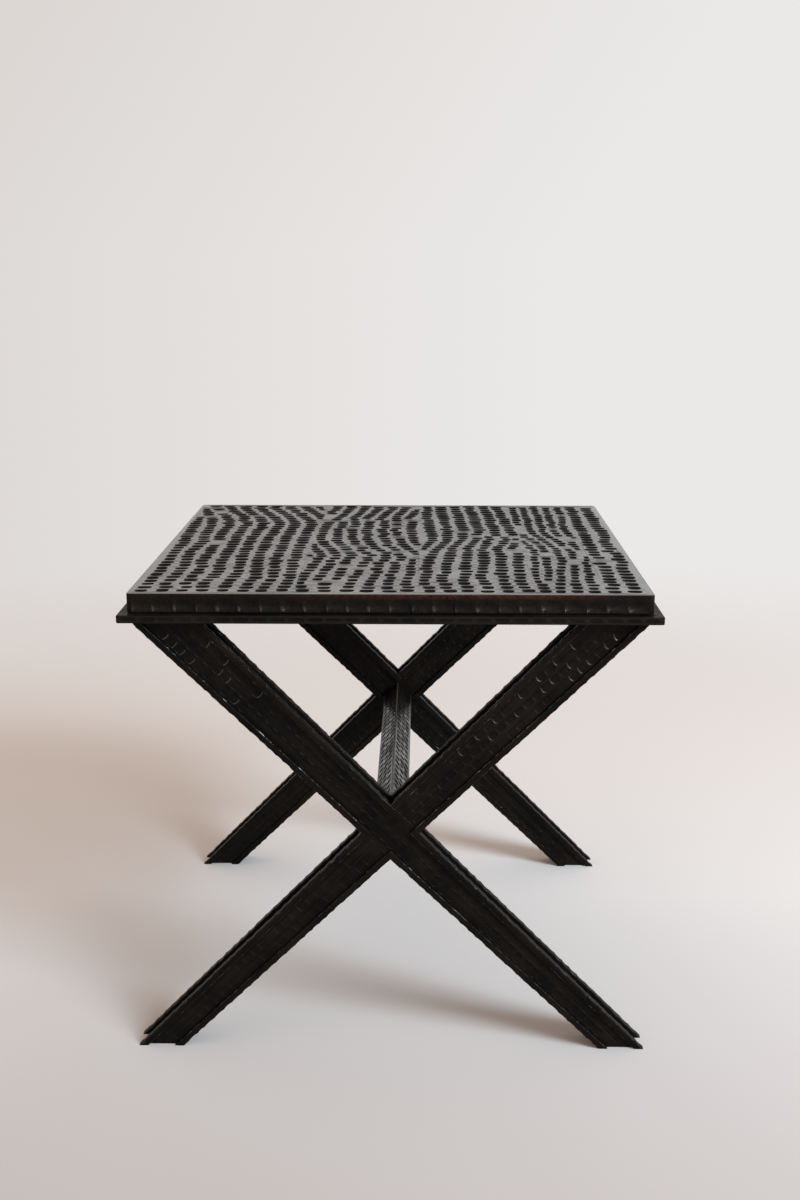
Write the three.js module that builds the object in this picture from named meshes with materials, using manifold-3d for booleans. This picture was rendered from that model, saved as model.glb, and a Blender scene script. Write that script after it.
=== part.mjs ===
// A low square side table in blackened wood.
// Five boards make the top, four thinner boards run across below it, and two crossed frames carry them.
// A square rail, set with one corner up, joins the crossings of the two frames.
// Sizes are in millimetres. X runs right, Y runs back and Z runs up from the floor, under the top's middle.

import * as THREE from "three";
import { mergeVertices } from "three/addons/utils/BufferGeometryUtils.js";
import Module from "manifold-3d";

const wasm = await Module();
wasm.setup();

// Top: boards that run from front to back, with their widths as shares of the top's width
const TOP_WIDTH = 600;
const TOP_DEPTH = 600;
const TOP_THICKNESS = 23;
const TOP_BOARD_SHARES = [0.317, 0.237, 0.2235, 0.135, 0.0875];
const TOP_CORNER_RADIUS = 5;
const TOP_EASED_EDGE = 1.4;

// Scoops: one row of shallow hollows along each edge of the top
const SCOOP_PITCH = 24.6;
const SCOOP_WIDTH = 22;
const SCOOP_HEIGHT = 12.5;
const SCOOP_DEPTH = 1.8;
const SCOOP_WALL = 6;
const SCOOP_DROP = 6.5;

// Carving: gouge cuts struck one behind the other, as chains that run from front to back.
// Flat land stays between two chains, along the seams and round the edge.
const CUT_PITCH = 18;
const CUT_DEPTH = 2;
const RIDGE_DROP = 0.5;
const SIDE_LAND = 4.5;
const END_LAND = 9;
const SEAM_LAND = 1.5;
const ZONE_LAND = 3;
const DEEPEST_SHARE = 0.72;
const CHAIN_LAND_SHARE = 0.35;
const STAGGER_SHARE = 0.38;

// The carver's zones on each board, from front to back. Each has its share of the depth, its count of
// chains, its share of the pitch, and its lean to the right as it runs back.
const ZONE_SHARES = [
  [[0.07, 8, 1.0, 0], [0.71, 8, 1.0, 0], [0.22, 8, 0.9, -0.3]],
  [[0.07, 6, 1.0, 0], [0.27, 7, 1.0, 0.1], [0.17, 7, 0.9, -0.35], [0.27, 7, 1.0, 0], [0.22, 7, 0.9, 0.2]],
  [[0.07, 6, 1.0, 0], [0.33, 6, 1.0, 0.05], [0.18, 7, 0.85, 0.25], [0.42, 6, 1.0, -0.05]],
  [[0.1, 4, 1.0, 0], [0.27, 5, 1.0, 0.08], [0.22, 5, 0.85, -0.2], [0.41, 5, 1.0, 0]],
  [[1.0, 2, 1.0, 0]],
];

// Under-board: thinner boards that run from side to side and stand out as a ledge all round
const LEDGE = 10.5;
const UNDER_THICKNESS = 9;
const UNDER_BOARD_SHARES = [0.25, 0.25, 0.25, 0.25];
const UNDER_CORNER_RADIUS = 3;
const UNDER_EASED_EDGE = 0.8;

// Legs: tapered bars, with a sunk panel in both faces and a deep groove in both edges
const LEG_RISE = 541;
const LEG_THICKNESS = 35.5;
const LEG_TOP_CUT = 82;
const LEG_FOOT_CUT = 55.5;
const LEG_TOP_INSET = 8.5;
const LEG_FOOT_INSET = 0.8;
const FRAME_SETBACK = 19.8;
const RIM_WIDTH = 8;
const PANEL_DEPTH = 4.5;
const LIP_THICKNESS = 9;
const GROOVE_DEPTH = 8;

// Rail: a square bar with a square tenon on each end
const RAIL_SIDE = 30;
const TENON_SIDE = 16;
const TENON_LENGTH = 20;

// Screws: countersunk, one length for the legs and one for the top
const SHANK_RADIUS = 2.1;
const HEAD_RADIUS = 4.2;
const POINT_LENGTH = 5;
const LEG_SCREW_LENGTH = 30;
const TOP_SCREW_LENGTH = 24;
const LEG_SCREW_SPACING = 24;
const HEAD_SINK = 0.4;

// Fits: what is left between glued or screwed faces, round a tenon and round a screw
const JOINT_GAP = 0.3;
const TENON_CLEARANCE = 0.3;
const SCREW_CLEARANCE = 0.3;

// How far a cut runs past what it cuts, and how finely round forms are stepped
const OVERRUN = 2;
const CORNER_STEPS = 2;
const SCREW_SIDES = 8;

// Sizes that follow from the ones above
const underWidth = TOP_WIDTH + 2 * LEDGE;
const underDepth = TOP_DEPTH + 2 * LEDGE;
const underBase = LEG_RISE + JOINT_GAP;
const topBase = underBase + UNDER_THICKNESS + JOINT_GAP;
const frameOuterFace = underDepth / 2 - FRAME_SETBACK;
const frameMiddle = frameOuterFace - LEG_THICKNESS / 2;
const legTopReach = underWidth / 2 - LEG_TOP_INSET;
const legFootReach = underWidth / 2 - LEG_FOOT_INSET;
const legTopMiddle = legTopReach - LEG_TOP_CUT / 2;
const legFootMiddle = legFootReach - LEG_FOOT_CUT / 2;
const crossingHeight = (LEG_RISE * legFootMiddle) / (legFootMiddle + legTopMiddle);

// Colours read from the finish: black stain over dark wood, and plain steel
const WOOD = { color: 0x1c1815, roughness: 0.48, metalness: 0.0 };
const STEEL = { color: 0x77736c, roughness: 0.4, metalness: 1.0 };

// A closed geometry as a solid that can be cut and joined
function solidOf(geometry) {
  const bare = geometry.clone();
  bare.deleteAttribute("normal");
  bare.deleteAttribute("uv");
  const merged = mergeVertices(bare);
  const vertProperties = Float32Array.from(merged.attributes.position.array);
  const triVerts = Uint32Array.from(merged.index.array);
  return new wasm.Manifold(new wasm.Mesh({ numProp: 3, vertProperties, triVerts }));
}

// A cut solid as a named piece, in its own material
function pieceOf(name, solid, finish) {
  const mesh = solid.getMesh();
  const geometry = new THREE.BufferGeometry();
  geometry.setAttribute("position", new THREE.BufferAttribute(mesh.vertProperties, 3));
  geometry.setIndex(new THREE.BufferAttribute(mesh.triVerts, 1));
  const material = new THREE.MeshStandardMaterial({ ...finish, flatShading: true });
  const piece = new THREE.Mesh(geometry, material);
  piece.name = name;
  return piece;
}

// A box between two corners
function boxBetween(low, high) {
  const box = new THREE.BoxGeometry(high[0] - low[0], high[1] - low[1], high[2] - low[2]);
  box.translate((low[0] + high[0]) / 2, (low[1] + high[1]) / 2, (low[2] + high[2]) / 2);
  return solidOf(box);
}

// A rectangle with rounded corners, centred on the origin
function roundedRectangle(width, depth, radius) {
  const x = width / 2 - radius;
  const y = depth / 2 - radius;
  const outline = new THREE.Shape();
  outline.absarc(x, y, radius, 0, Math.PI / 2, false);
  outline.absarc(-x, y, radius, Math.PI / 2, Math.PI, false);
  outline.absarc(-x, -y, radius, Math.PI, 1.5 * Math.PI, false);
  outline.absarc(x, -y, radius, 1.5 * Math.PI, 2 * Math.PI, false);
  outline.closePath();
  return outline;
}

// A flat panel with its edges eased by a small slope, standing on z = 0
function easedPanel(width, depth, thickness, radius, ease) {
  const panel = new THREE.ExtrudeGeometry(roundedRectangle(width, depth, radius), {
    depth: thickness - 2 * ease,
    curveSegments: CORNER_STEPS,
    bevelEnabled: true,
    bevelThickness: ease,
    bevelSize: ease,
    bevelOffset: -ease,
    bevelSegments: 1,
  });
  panel.translate(0, 0, ease);
  return solidOf(panel);
}

// The places where a width is divided by shares, with the ends run past the outside
function divisions(width, shares) {
  const lines = [-width / 2];
  for (const share of shares) {
    lines.push(lines[lines.length - 1] + share * width);
  }
  return shares.map((_, index) => {
    const first = index === 0;
    const last = index === shares.length - 1;
    const low = first ? lines[index] - OVERRUN : lines[index] + JOINT_GAP / 2;
    const high = last ? lines[index + 1] + OVERRUN : lines[index + 1] - JOINT_GAP / 2;
    return { low, high, middle: (lines[index] + lines[index + 1]) / 2 };
  });
}

const topBoards = divisions(TOP_WIDTH, TOP_BOARD_SHARES);
const underBoards = divisions(underDepth, UNDER_BOARD_SHARES);

// One scoop: a shallow hollow with wide, sloping sides, cut into an edge that faces -Y at y = 0
function scoopCutter() {
  const half = SCOOP_WIDTH / 2;
  const flare = (SCOOP_WALL * OVERRUN) / SCOOP_DEPTH;
  const hollow = new THREE.Shape();
  hollow.moveTo(-half - flare, -OVERRUN);
  hollow.lineTo(half + flare, -OVERRUN);
  hollow.lineTo(half - SCOOP_WALL, SCOOP_DEPTH);
  hollow.lineTo(SCOOP_WALL - half, SCOOP_DEPTH);
  hollow.closePath();
  const cutter = new THREE.ExtrudeGeometry(hollow, { depth: SCOOP_HEIGHT, bevelEnabled: false });
  cutter.translate(0, 0, TOP_THICKNESS - SCOOP_DROP - SCOOP_HEIGHT);
  return cutter;
}

// The scoops of all four edges, spread evenly along each
function edgeScoops() {
  const cutters = [];
  for (let side = 0; side < 4; side += 1) {
    const alongX = side % 2 === 0;
    const length = alongX ? TOP_WIDTH : TOP_DEPTH;
    const reach = (alongX ? TOP_DEPTH : TOP_WIDTH) / 2;
    const count = Math.floor(length / SCOOP_PITCH);
    for (let index = 0; index < count; index += 1) {
      const cutter = scoopCutter();
      cutter.translate((index - (count - 1) / 2) * SCOOP_PITCH, -reach, 0);
      cutter.rotateZ((side * Math.PI) / 2);
      cutters.push(solidOf(cutter));
    }
  }
  return wasm.Manifold.union(cutters);
}

// One chain of cuts: a saw-toothed profile, steep at its back, given the width of the chain.
// It runs along Y, centred on the origin, and hangs from the top's face.
function cutChain(width, count, pitch) {
  const profile = new THREE.Shape();
  profile.moveTo(0, OVERRUN);
  for (let index = 0; index < count; index += 1) {
    profile.lineTo(index * pitch, -RIDGE_DROP);
    profile.lineTo((index + DEEPEST_SHARE) * pitch, -CUT_DEPTH);
  }
  profile.lineTo(count * pitch, -RIDGE_DROP);
  profile.lineTo(count * pitch, OVERRUN);
  profile.closePath();
  const chain = new THREE.ExtrudeGeometry(profile, { depth: width, bevelEnabled: false });
  chain.rotateX(Math.PI / 2);
  chain.rotateZ(Math.PI / 2);
  chain.translate(-width / 2, (-count * pitch) / 2, TOP_THICKNESS);
  return chain;
}

// The chains of one zone, between two corners, trimmed where they lean out of it
function zoneCuts(low, high, [, chains, pitchShare, lean]) {
  const spacing = (high[0] - low[0]) / chains;
  const width = spacing * (1 - CHAIN_LAND_SHARE);
  const pitch = CUT_PITCH * pitchShare;
  const length = (high[1] - low[1] - ZONE_LAND) * Math.hypot(1, lean);
  const count = Math.floor(length / pitch);
  const slack = length - count * pitch;
  const spare = Math.ceil((Math.abs(lean) * length) / 2 / spacing);
  const cutters = [];
  for (let index = -spare; index < chains + spare; index += 1) {
    const chain = cutChain(width, count, pitch);
    chain.translate(0, slack * ((Math.abs(index) * STAGGER_SHARE) % 1) - slack / 2, 0);
    chain.rotateZ(-Math.atan(lean));
    chain.translate(low[0] + (index + 0.5) * spacing, (low[1] + high[1]) / 2, 0);
    cutters.push(solidOf(chain));
  }
  const bottom = [low[0] + SEAM_LAND, low[1] - ZONE_LAND, 0];
  const top = [high[0] - SEAM_LAND, high[1] + ZONE_LAND, TOP_THICKNESS + 2 * OVERRUN];
  return wasm.Manifold.union(cutters).intersect(boxBetween(bottom, top));
}

// The carving of one board: its zones, laid one behind the other
function boardCuts(column) {
  const { low, high } = topBoards[column];
  const left = Math.max(low, SIDE_LAND - TOP_WIDTH / 2);
  const right = Math.min(high, TOP_WIDTH / 2 - SIDE_LAND);
  const reach = TOP_DEPTH / 2 - END_LAND;
  let front = -reach;
  const cutters = [];
  for (const zone of ZONE_SHARES[column]) {
    const back = front + 2 * reach * zone[0];
    cutters.push(zoneCuts([left, front], [right, back], zone));
    front = back;
  }
  return wasm.Manifold.union(cutters);
}

// A countersunk screw that points down from z = 0, or, grown by a clearance, the hole for it.
// The hole's cone runs on above the head by a rise, as a countersink does.
function screwForm(length, clearance, rise) {
  const head = HEAD_RADIUS + clearance;
  const shank = SHANK_RADIUS + clearance;
  const tip = length + clearance;
  const profile = [new THREE.Vector2(0, -tip), new THREE.Vector2(shank, POINT_LENGTH - tip)];
  profile.push(new THREE.Vector2(shank, shank - head));
  profile.push(new THREE.Vector2(head + rise, rise));
  profile.push(new THREE.Vector2(0, rise));
  const form = new THREE.LatheGeometry(profile, SCREW_SIDES);
  form.rotateX(Math.PI / 2);
  return form;
}

// Leg screws go down through the under-board, and meet the leg's middle line halfway into it
function legScrewPlaces() {
  const depthInLeg = LEG_SCREW_LENGTH + HEAD_SINK - UNDER_THICKNESS;
  const drift = ((depthInLeg / 2) * (legTopMiddle + legFootMiddle)) / LEG_RISE;
  const places = [];
  for (const [sideName, side] of [["left", -1], ["right", 1]]) {
    for (const [placeName, place] of [["outer", 1], ["inner", -1]]) {
      const x = side * (legTopMiddle - drift + (place * LEG_SCREW_SPACING) / 2);
      places.push({ name: `${sideName}_${placeName}`, x });
    }
  }
  return places;
}

// Top screws go up through the under-board, one where each pair of boards crosses
function topScrewPlaces() {
  const places = [];
  topBoards.forEach((board, column) => {
    underBoards.forEach((crossBoard, row) => {
      places.push({ name: `${column + 1}_${row + 1}`, x: board.middle, y: crossBoard.middle });
    });
  });
  return places;
}

// The height of each kind of screw's head, measured in the table
const legScrewHead = underBase + UNDER_THICKNESS - HEAD_SINK;
const topScrewHead = underBase + HEAD_SINK;

// The hole for a leg screw, with its head at a height
function legScrewHole(x, y, height) {
  const hole = screwForm(LEG_SCREW_LENGTH, SCREW_CLEARANCE, HEAD_SINK + OVERRUN);
  hole.translate(x, y, height);
  return solidOf(hole);
}

// The hole for a top screw, which points up from a height
function topScrewHole(x, y, height) {
  const hole = screwForm(TOP_SCREW_LENGTH, SCREW_CLEARANCE, HEAD_SINK + OVERRUN);
  hole.rotateX(Math.PI);
  hole.translate(x, y, height);
  return solidOf(hole);
}

// Top: the whole panel is scooped round its edge and parted into its boards, and each board is carved
function makeTop() {
  const group = new THREE.Group();
  group.position.z = topBase;
  const panel = easedPanel(TOP_WIDTH, TOP_DEPTH, TOP_THICKNESS, TOP_CORNER_RADIUS, TOP_EASED_EDGE);
  const scooped = panel.subtract(edgeScoops());
  topBoards.forEach((board, column) => {
    const reach = TOP_DEPTH / 2 + OVERRUN;
    const strip = boxBetween([board.low, -reach, -OVERRUN], [board.high, reach, TOP_THICKNESS + OVERRUN]);
    const holes = underBoards.map((crossBoard) =>
      topScrewHole(board.middle, crossBoard.middle, topScrewHead - topBase),
    );
    const cuts = wasm.Manifold.union([boardCuts(column), ...holes]);
    group.add(pieceOf(`top_board_${column + 1}`, scooped.intersect(strip).subtract(cuts), WOOD));
  });
  return group;
}

// Under-board: the whole panel is parted into its boards and drilled for both kinds of screw
function makeUnderBoard() {
  const group = new THREE.Group();
  group.position.z = underBase;
  const panel = easedPanel(underWidth, underDepth, UNDER_THICKNESS, UNDER_CORNER_RADIUS, UNDER_EASED_EDGE);
  const holes = topScrewPlaces().map(({ x, y }) => topScrewHole(x, y, topScrewHead - underBase));
  for (const { x } of legScrewPlaces()) {
    holes.push(legScrewHole(x, -frameMiddle, legScrewHead - underBase));
    holes.push(legScrewHole(x, frameMiddle, legScrewHead - underBase));
  }
  const drilled = panel.subtract(wasm.Manifold.union(holes));
  underBoards.forEach((board, row) => {
    const reach = underWidth / 2 + OVERRUN;
    const low = [-reach, board.low, -OVERRUN];
    const high = [reach, board.high, UNDER_THICKNESS + OVERRUN];
    group.add(pieceOf(`under_board_${row + 1}`, drilled.intersect(boxBetween(low, high)), WOOD));
  });
  return group;
}

// A frame's own Y runs from its outer face, at 0, to its inner face, at the leg's thickness.
// Seen from outside, the through leg goes from the top left to the foot on the right.

// The x of one edge of that leg at a height, moved inwards, square to the edge, by an inset
function edgeX(edge, inset, height) {
  const top = edge < 0 ? -legTopReach : LEG_TOP_CUT - legTopReach;
  const foot = edge < 0 ? legFootReach - LEG_FOOT_CUT : legFootReach;
  const slope = (top - foot) / LEG_RISE;
  return foot + slope * height - edge * inset * Math.hypot(slope, 1);
}

// A band along the leg between both edges, moved inwards by an inset, or its mirror image
function legBand(mirror, inset, low, high) {
  const corners = [
    [edgeX(-1, inset, low), low],
    [edgeX(1, inset, low), low],
    [edgeX(1, inset, high), high],
    [edgeX(-1, inset, high), high],
  ];
  return corners.map(([x, z]) => new THREE.Vector2(mirror ? -x : x, z));
}

// A strip along one edge of the leg, from outside it to a depth inside it
function edgeStrip(mirror, edge, depth) {
  const low = -OVERRUN;
  const high = LEG_RISE + OVERRUN;
  const corners = [
    [edgeX(edge, -OVERRUN, low), low],
    [edgeX(edge, depth, low), low],
    [edgeX(edge, depth, high), high],
    [edgeX(edge, -OVERRUN, high), high],
  ];
  return corners.map(([x, z]) => new THREE.Vector2(mirror ? -x : x, z));
}

// An upright outline, in X and Z, given a thickness from one Y to another
function uprightPrism(points, nearY, farY) {
  const prism = new THREE.ExtrudeGeometry(new THREE.Shape(points), {
    depth: farY - nearY,
    bevelEnabled: false,
  });
  prism.rotateX(Math.PI / 2);
  prism.translate(0, farY, 0);
  return solidOf(prism);
}

// A band that runs past both ends of the leg, used as a cutter
function longBand(mirror, inset, nearY, farY) {
  return uprightPrism(legBand(mirror, inset, -OVERRUN, LEG_RISE + OVERRUN), nearY, farY);
}

// The sunk panels of both faces, which run on through the crossing as an X
function sunkPanels() {
  const faces = [
    [-OVERRUN, PANEL_DEPTH],
    [LEG_THICKNESS - PANEL_DEPTH, LEG_THICKNESS + OVERRUN],
  ];
  const cutters = faces.flatMap(([near, far]) => [
    longBand(false, RIM_WIDTH, near, far),
    longBand(true, RIM_WIDTH, near, far),
  ]);
  return wasm.Manifold.union(cutters);
}

// The grooves in the leg's edges, which stop where the other leg's core crosses
function edgeGrooves(mirror) {
  const near = LIP_THICKNESS;
  const far = LEG_THICKNESS - LIP_THICKNESS;
  const strips = [-1, 1].map((edge) => uprightPrism(edgeStrip(mirror, edge, GROOVE_DEPTH), near, far));
  const otherCore = longBand(!mirror, GROOVE_DEPTH, near - OVERRUN, far + OVERRUN);
  return wasm.Manifold.union(strips).subtract(otherCore);
}

// A square bar with one corner up, centred on the crossing, from one Y to another
function cornerUpBar(side, nearY, farY) {
  const half = side / Math.SQRT2;
  const corners = [
    new THREE.Vector2(-half, crossingHeight),
    new THREE.Vector2(0, crossingHeight - half),
    new THREE.Vector2(half, crossingHeight),
    new THREE.Vector2(0, crossingHeight + half),
  ];
  return uprightPrism(corners, nearY, farY);
}

// Half of the thickness is taken out of each leg where the other leg passes
function lapNotch(mirror) {
  const middle = LEG_THICKNESS / 2;
  const near = mirror ? -OVERRUN : middle - JOINT_GAP / 2;
  const far = mirror ? middle + JOINT_GAP / 2 : LEG_THICKNESS + OVERRUN;
  return longBand(!mirror, -JOINT_GAP, near, far);
}

// One leg: the tapered bar, less its panels, grooves, lap, mortise and screw holes
function makeLeg(name, mirror) {
  const bar = uprightPrism(legBand(mirror, 0, 0, LEG_RISE), 0, LEG_THICKNESS);
  const shoulder = LEG_THICKNESS - PANEL_DEPTH;
  const mortiseSide = TENON_SIDE + 2 * TENON_CLEARANCE;
  const mortise = cornerUpBar(mortiseSide, shoulder - TENON_LENGTH - TENON_CLEARANCE, LEG_THICKNESS);
  const screwHoles = legScrewPlaces().map(({ x }) => legScrewHole(x, LEG_THICKNESS / 2, legScrewHead));
  const cuts = [sunkPanels(), edgeGrooves(mirror), lapNotch(mirror), mortise, ...screwHoles];
  return pieceOf(name, bar.subtract(wasm.Manifold.union(cuts)), WOOD);
}

// One crossed frame, as its own group
function makeFrame(throughName, lappedName) {
  const group = new THREE.Group();
  group.add(makeLeg(throughName, false));
  group.add(makeLeg(lappedName, true));
  return group;
}

// Rail: shouldered against the sunk panels of both frames, with a tenon in each crossing
function makeRail() {
  const shoulder = frameOuterFace - LEG_THICKNESS + PANEL_DEPTH - JOINT_GAP;
  const tenonEnd = shoulder + TENON_LENGTH;
  const bar = cornerUpBar(RAIL_SIDE, -shoulder, shoulder);
  const tenons = cornerUpBar(TENON_SIDE, -tenonEnd, tenonEnd);
  return pieceOf("cross_rail", bar.add(tenons), WOOD);
}

// One screw as a piece, at the head's place, pointing down or turned to point up
function makeScrew(name, length, place, pointsUp) {
  const screw = pieceOf(name, solidOf(screwForm(length, 0, 0)), STEEL);
  screw.position.copy(place);
  screw.rotation.x = pointsUp ? Math.PI : 0;
  return screw;
}

// All screws: two down into the end of each leg, and one up at each crossing of the boards
function makeScrews() {
  const group = new THREE.Group();
  for (const [frameName, y] of [["front", -frameMiddle], ["rear", frameMiddle]]) {
    for (const { name, x } of legScrewPlaces()) {
      const place = new THREE.Vector3(x, y, legScrewHead);
      group.add(makeScrew(`leg_screw_${frameName}_${name}`, LEG_SCREW_LENGTH, place, false));
    }
  }
  for (const { name, x, y } of topScrewPlaces()) {
    const place = new THREE.Vector3(x, y, topScrewHead);
    group.add(makeScrew(`top_screw_${name}`, TOP_SCREW_LENGTH, place, true));
  }
  return group;
}

// The table: the rear frame is the front frame turned about, so each shows its through leg outside
const table = new THREE.Group();
const frontFrame = makeFrame("front_leg_foot_right", "front_leg_foot_left");
frontFrame.position.y = -frameOuterFace;
const rearFrame = makeFrame("rear_leg_foot_left", "rear_leg_foot_right");
rearFrame.position.y = frameOuterFace;
rearFrame.rotation.z = Math.PI;
table.add(makeTop(), makeUnderBoard(), frontFrame, rearFrame, makeRail(), makeScrews());

export default table;
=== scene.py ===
# %% [markdown]
# A low side table, carved all over with a gouge and stained black.
# The joinery is settled before this file starts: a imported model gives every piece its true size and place.
# This lesson dresses that model. It keeps the joints where they are, and gives each board, leg and rail the
# tool marks, worn edges and dark waxed finish that the real table shows.

import math
import random

import bmesh
import bpy
from mathutils import Matrix, Vector, noise


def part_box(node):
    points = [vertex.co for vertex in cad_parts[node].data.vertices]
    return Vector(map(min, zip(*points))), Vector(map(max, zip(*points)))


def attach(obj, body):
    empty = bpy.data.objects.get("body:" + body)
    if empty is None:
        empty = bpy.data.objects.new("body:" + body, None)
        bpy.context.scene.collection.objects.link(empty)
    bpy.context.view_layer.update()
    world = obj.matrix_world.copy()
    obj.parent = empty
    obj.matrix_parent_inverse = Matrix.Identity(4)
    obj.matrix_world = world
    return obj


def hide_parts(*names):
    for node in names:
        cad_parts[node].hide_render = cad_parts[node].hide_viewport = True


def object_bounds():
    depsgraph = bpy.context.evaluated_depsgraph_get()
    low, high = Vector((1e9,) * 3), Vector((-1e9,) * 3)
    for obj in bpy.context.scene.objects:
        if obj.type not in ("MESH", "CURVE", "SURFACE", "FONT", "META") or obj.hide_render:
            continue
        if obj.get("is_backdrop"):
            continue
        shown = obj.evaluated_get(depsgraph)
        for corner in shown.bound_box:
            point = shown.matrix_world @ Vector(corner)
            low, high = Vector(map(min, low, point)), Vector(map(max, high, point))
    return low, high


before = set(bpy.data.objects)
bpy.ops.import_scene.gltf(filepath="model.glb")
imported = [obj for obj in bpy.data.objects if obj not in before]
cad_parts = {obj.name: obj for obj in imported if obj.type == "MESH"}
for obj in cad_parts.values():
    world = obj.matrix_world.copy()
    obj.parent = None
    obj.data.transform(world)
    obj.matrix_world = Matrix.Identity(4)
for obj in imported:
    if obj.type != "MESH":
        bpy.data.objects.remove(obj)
MM = 0.001
cad_low, cad_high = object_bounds()
packed_size = [round(c / MM) for c in cad_high - cad_low]
print("packed model:", len(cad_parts), "pieces, size in mm:", packed_size)

# %% [markdown]
# The camera comes first, because every later choice is judged through it.
# It could be set by eye, by moving it until the outlines agree. Here its lens, place and tilt were fitted to
# the outlines of the top and of both frames, so they are written as measured. The lens is worked out from
# the focal length in pixels, since Blender measures its lens against the long side of the frame.

# %% Camera
PHOTO_HEIGHT_PX = 1200
FOCAL_LENGTH_PX = 1453
SENSOR_MM = 36
CAMERA_PLACE = (0.0353, -1.8997, 0.949)
CAMERA_TILT_DOWN = 13.42
CAMERA_TURN = 0.85

camera_data = bpy.data.cameras.new("camera")
camera_data.sensor_width = SENSOR_MM
camera_data.sensor_fit = "AUTO"
camera_data.lens = FOCAL_LENGTH_PX / PHOTO_HEIGHT_PX * SENSOR_MM
camera = bpy.data.objects.new("camera", camera_data)
camera.location = CAMERA_PLACE
camera.rotation_euler = (math.radians(90 - CAMERA_TILT_DOWN), 0, math.radians(CAMERA_TURN))
bpy.context.scene.collection.objects.link(camera)
bpy.context.scene.camera = camera
bpy.context.scene.view_settings.view_transform = "Standard"
print("lens", round(camera_data.lens, 2), "mm")

# %% [markdown]
# Materials are made of nodes, and wiring nodes by hand makes long scripts.
# The first helper adds one node and fills its sockets at once: a plain value is set on the socket, and
# another node's output is linked to it. Four more write a sum, a blend, a span or a split in one line.
# Colours are written as a painter reads them off a swatch, from 0 to 255, and turned into the linear light
# that the renderer works in.

# %% Node and colour helpers
def add(tree, kind, sockets=None, **settings):
    """Adds a node, sets its settings, and sets or links its sockets."""
    node = tree.nodes.new("ShaderNode" + kind)
    for name, value in settings.items():
        setattr(node, name, value)
    for name, value in (sockets or {}).items():
        socket = node.inputs[name]
        if isinstance(value, bpy.types.NodeSocket):
            tree.links.new(value, socket)
        else:
            socket.default_value = value
    return node


def linear(*swatch):
    """A swatch from 0 to 255 as linear red, green, blue and alpha."""
    channels = [c / 255 for c in swatch]
    return [c / 12.92 if c <= 0.04045 else ((c + 0.055) / 1.055) ** 2.4 for c in channels] + [1]


def empty_tree(owner):
    """The owner's node tree with nothing in it."""
    owner.use_nodes = True
    owner.node_tree.nodes.clear()
    return owner.node_tree


def remap(tree, value, low, high, to_low=0.0, to_high=1.0):
    """A value between two limits, spread over two others."""
    sockets = {"Value": value, "From Min": low, "From Max": high, "To Min": to_low, "To Max": to_high}
    return add(tree, "MapRange", sockets).outputs[0]


def join(tree, operation, *values):
    """Values added, multiplied or joined by another operation, one after the other."""
    total = values[0]
    for value in values[1:]:
        total = add(tree, "Math", {0: total, 1: value}, operation=operation).outputs[0]
    return total


def blend(tree, share, first, second):
    """Two colours mixed by a share."""
    return add(tree, "Mix", {0: share, "A": first, "B": second}, data_type="RGBA").outputs["Result"]


def split(tree, vector):
    """The X, Y and Z of a vector."""
    return add(tree, "SeparateXYZ", {"Vector": vector}).outputs


print("a mid grey in linear light:", round(linear(128, 128, 128)[0], 3))

# %% [markdown]
# The photograph was taken in a pale room: an off-white wall, brighter on the right, and a whiter floor.
# The world could be one flat colour. Here it gives the fill light, which is warm, and shows its pale wall
# only to the camera and to reflections, so that the background is bright without more light on the wood.
# The wall is a mix of a dim and a bright tone, brighter towards the right and towards the horizon. Above the
# picture, where only the wax sees it, the room is brighter still.

# %% World
WALL_DIM = linear(214, 208, 204)
WALL_BRIGHT = linear(235, 233, 232)
FILL_COLOUR = (1.0, 0.82, 0.71, 1)
FILL_STRENGTH = 0.58
WALL_SIDE_REACH = 0.3
WALL_RISE = 0.3
WALL_RISE_SHARE = 0.35
ROOM_HEIGHTS = (0.18, 0.28)
ROOM_BRIGHTNESS = 1.5

world = bpy.data.worlds.new("studio")
bpy.context.scene.world = world
tree = empty_tree(world)
direction = split(tree, add(tree, "TexCoord").outputs["Generated"])
across = remap(tree, direction["X"], -WALL_SIDE_REACH, WALL_SIDE_REACH)
low_down = remap(tree, direction["Z"], WALL_RISE, 0, 0, WALL_RISE_SHARE)
wall = blend(tree, join(tree, "ADD", across, low_down), WALL_DIM, WALL_BRIGHT)
seen = add(tree, "LightPath").outputs
by_any = join(tree, "MAXIMUM", seen["Is Camera Ray"], seen["Is Glossy Ray"], seen["Is Transmission Ray"])
above = remap(tree, direction["Z"], *ROOM_HEIGHTS, 0, ROOM_BRIGHTNESS - 1)
brightness = join(tree, "ADD", join(tree, "MULTIPLY", above, seen["Is Glossy Ray"]), 1)
fill = add(tree, "Background", {"Color": FILL_COLOUR, "Strength": FILL_STRENGTH})
shown = add(tree, "Background", {"Color": wall, "Strength": brightness})
mixed = add(tree, "MixShader", {0: by_any, 1: fill.outputs[0], 2: shown.outputs[0]})
add(tree, "OutputWorld", {"Surface": mixed.outputs[0]})
print("world: fill", FILL_STRENGTH)

# %% [markdown]
# The table's shadow falls to the left and behind it, and its edges are soft.
# So the main light stands to the right and in front, above the top, and is about as wide as a window. A sun
# lamp would give the same direction but too sharp an edge; an area lamp gives the soft one.

# %% Key light
KEY_PLACE = Vector((3.3, -2.7, 2.7))
KEY_AIM = Vector((0, 0, 0.3))
KEY_WIDTH = 1.8
KEY_POWER = 225
KEY_COLOUR = (0.76, 0.9, 1.0)

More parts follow.
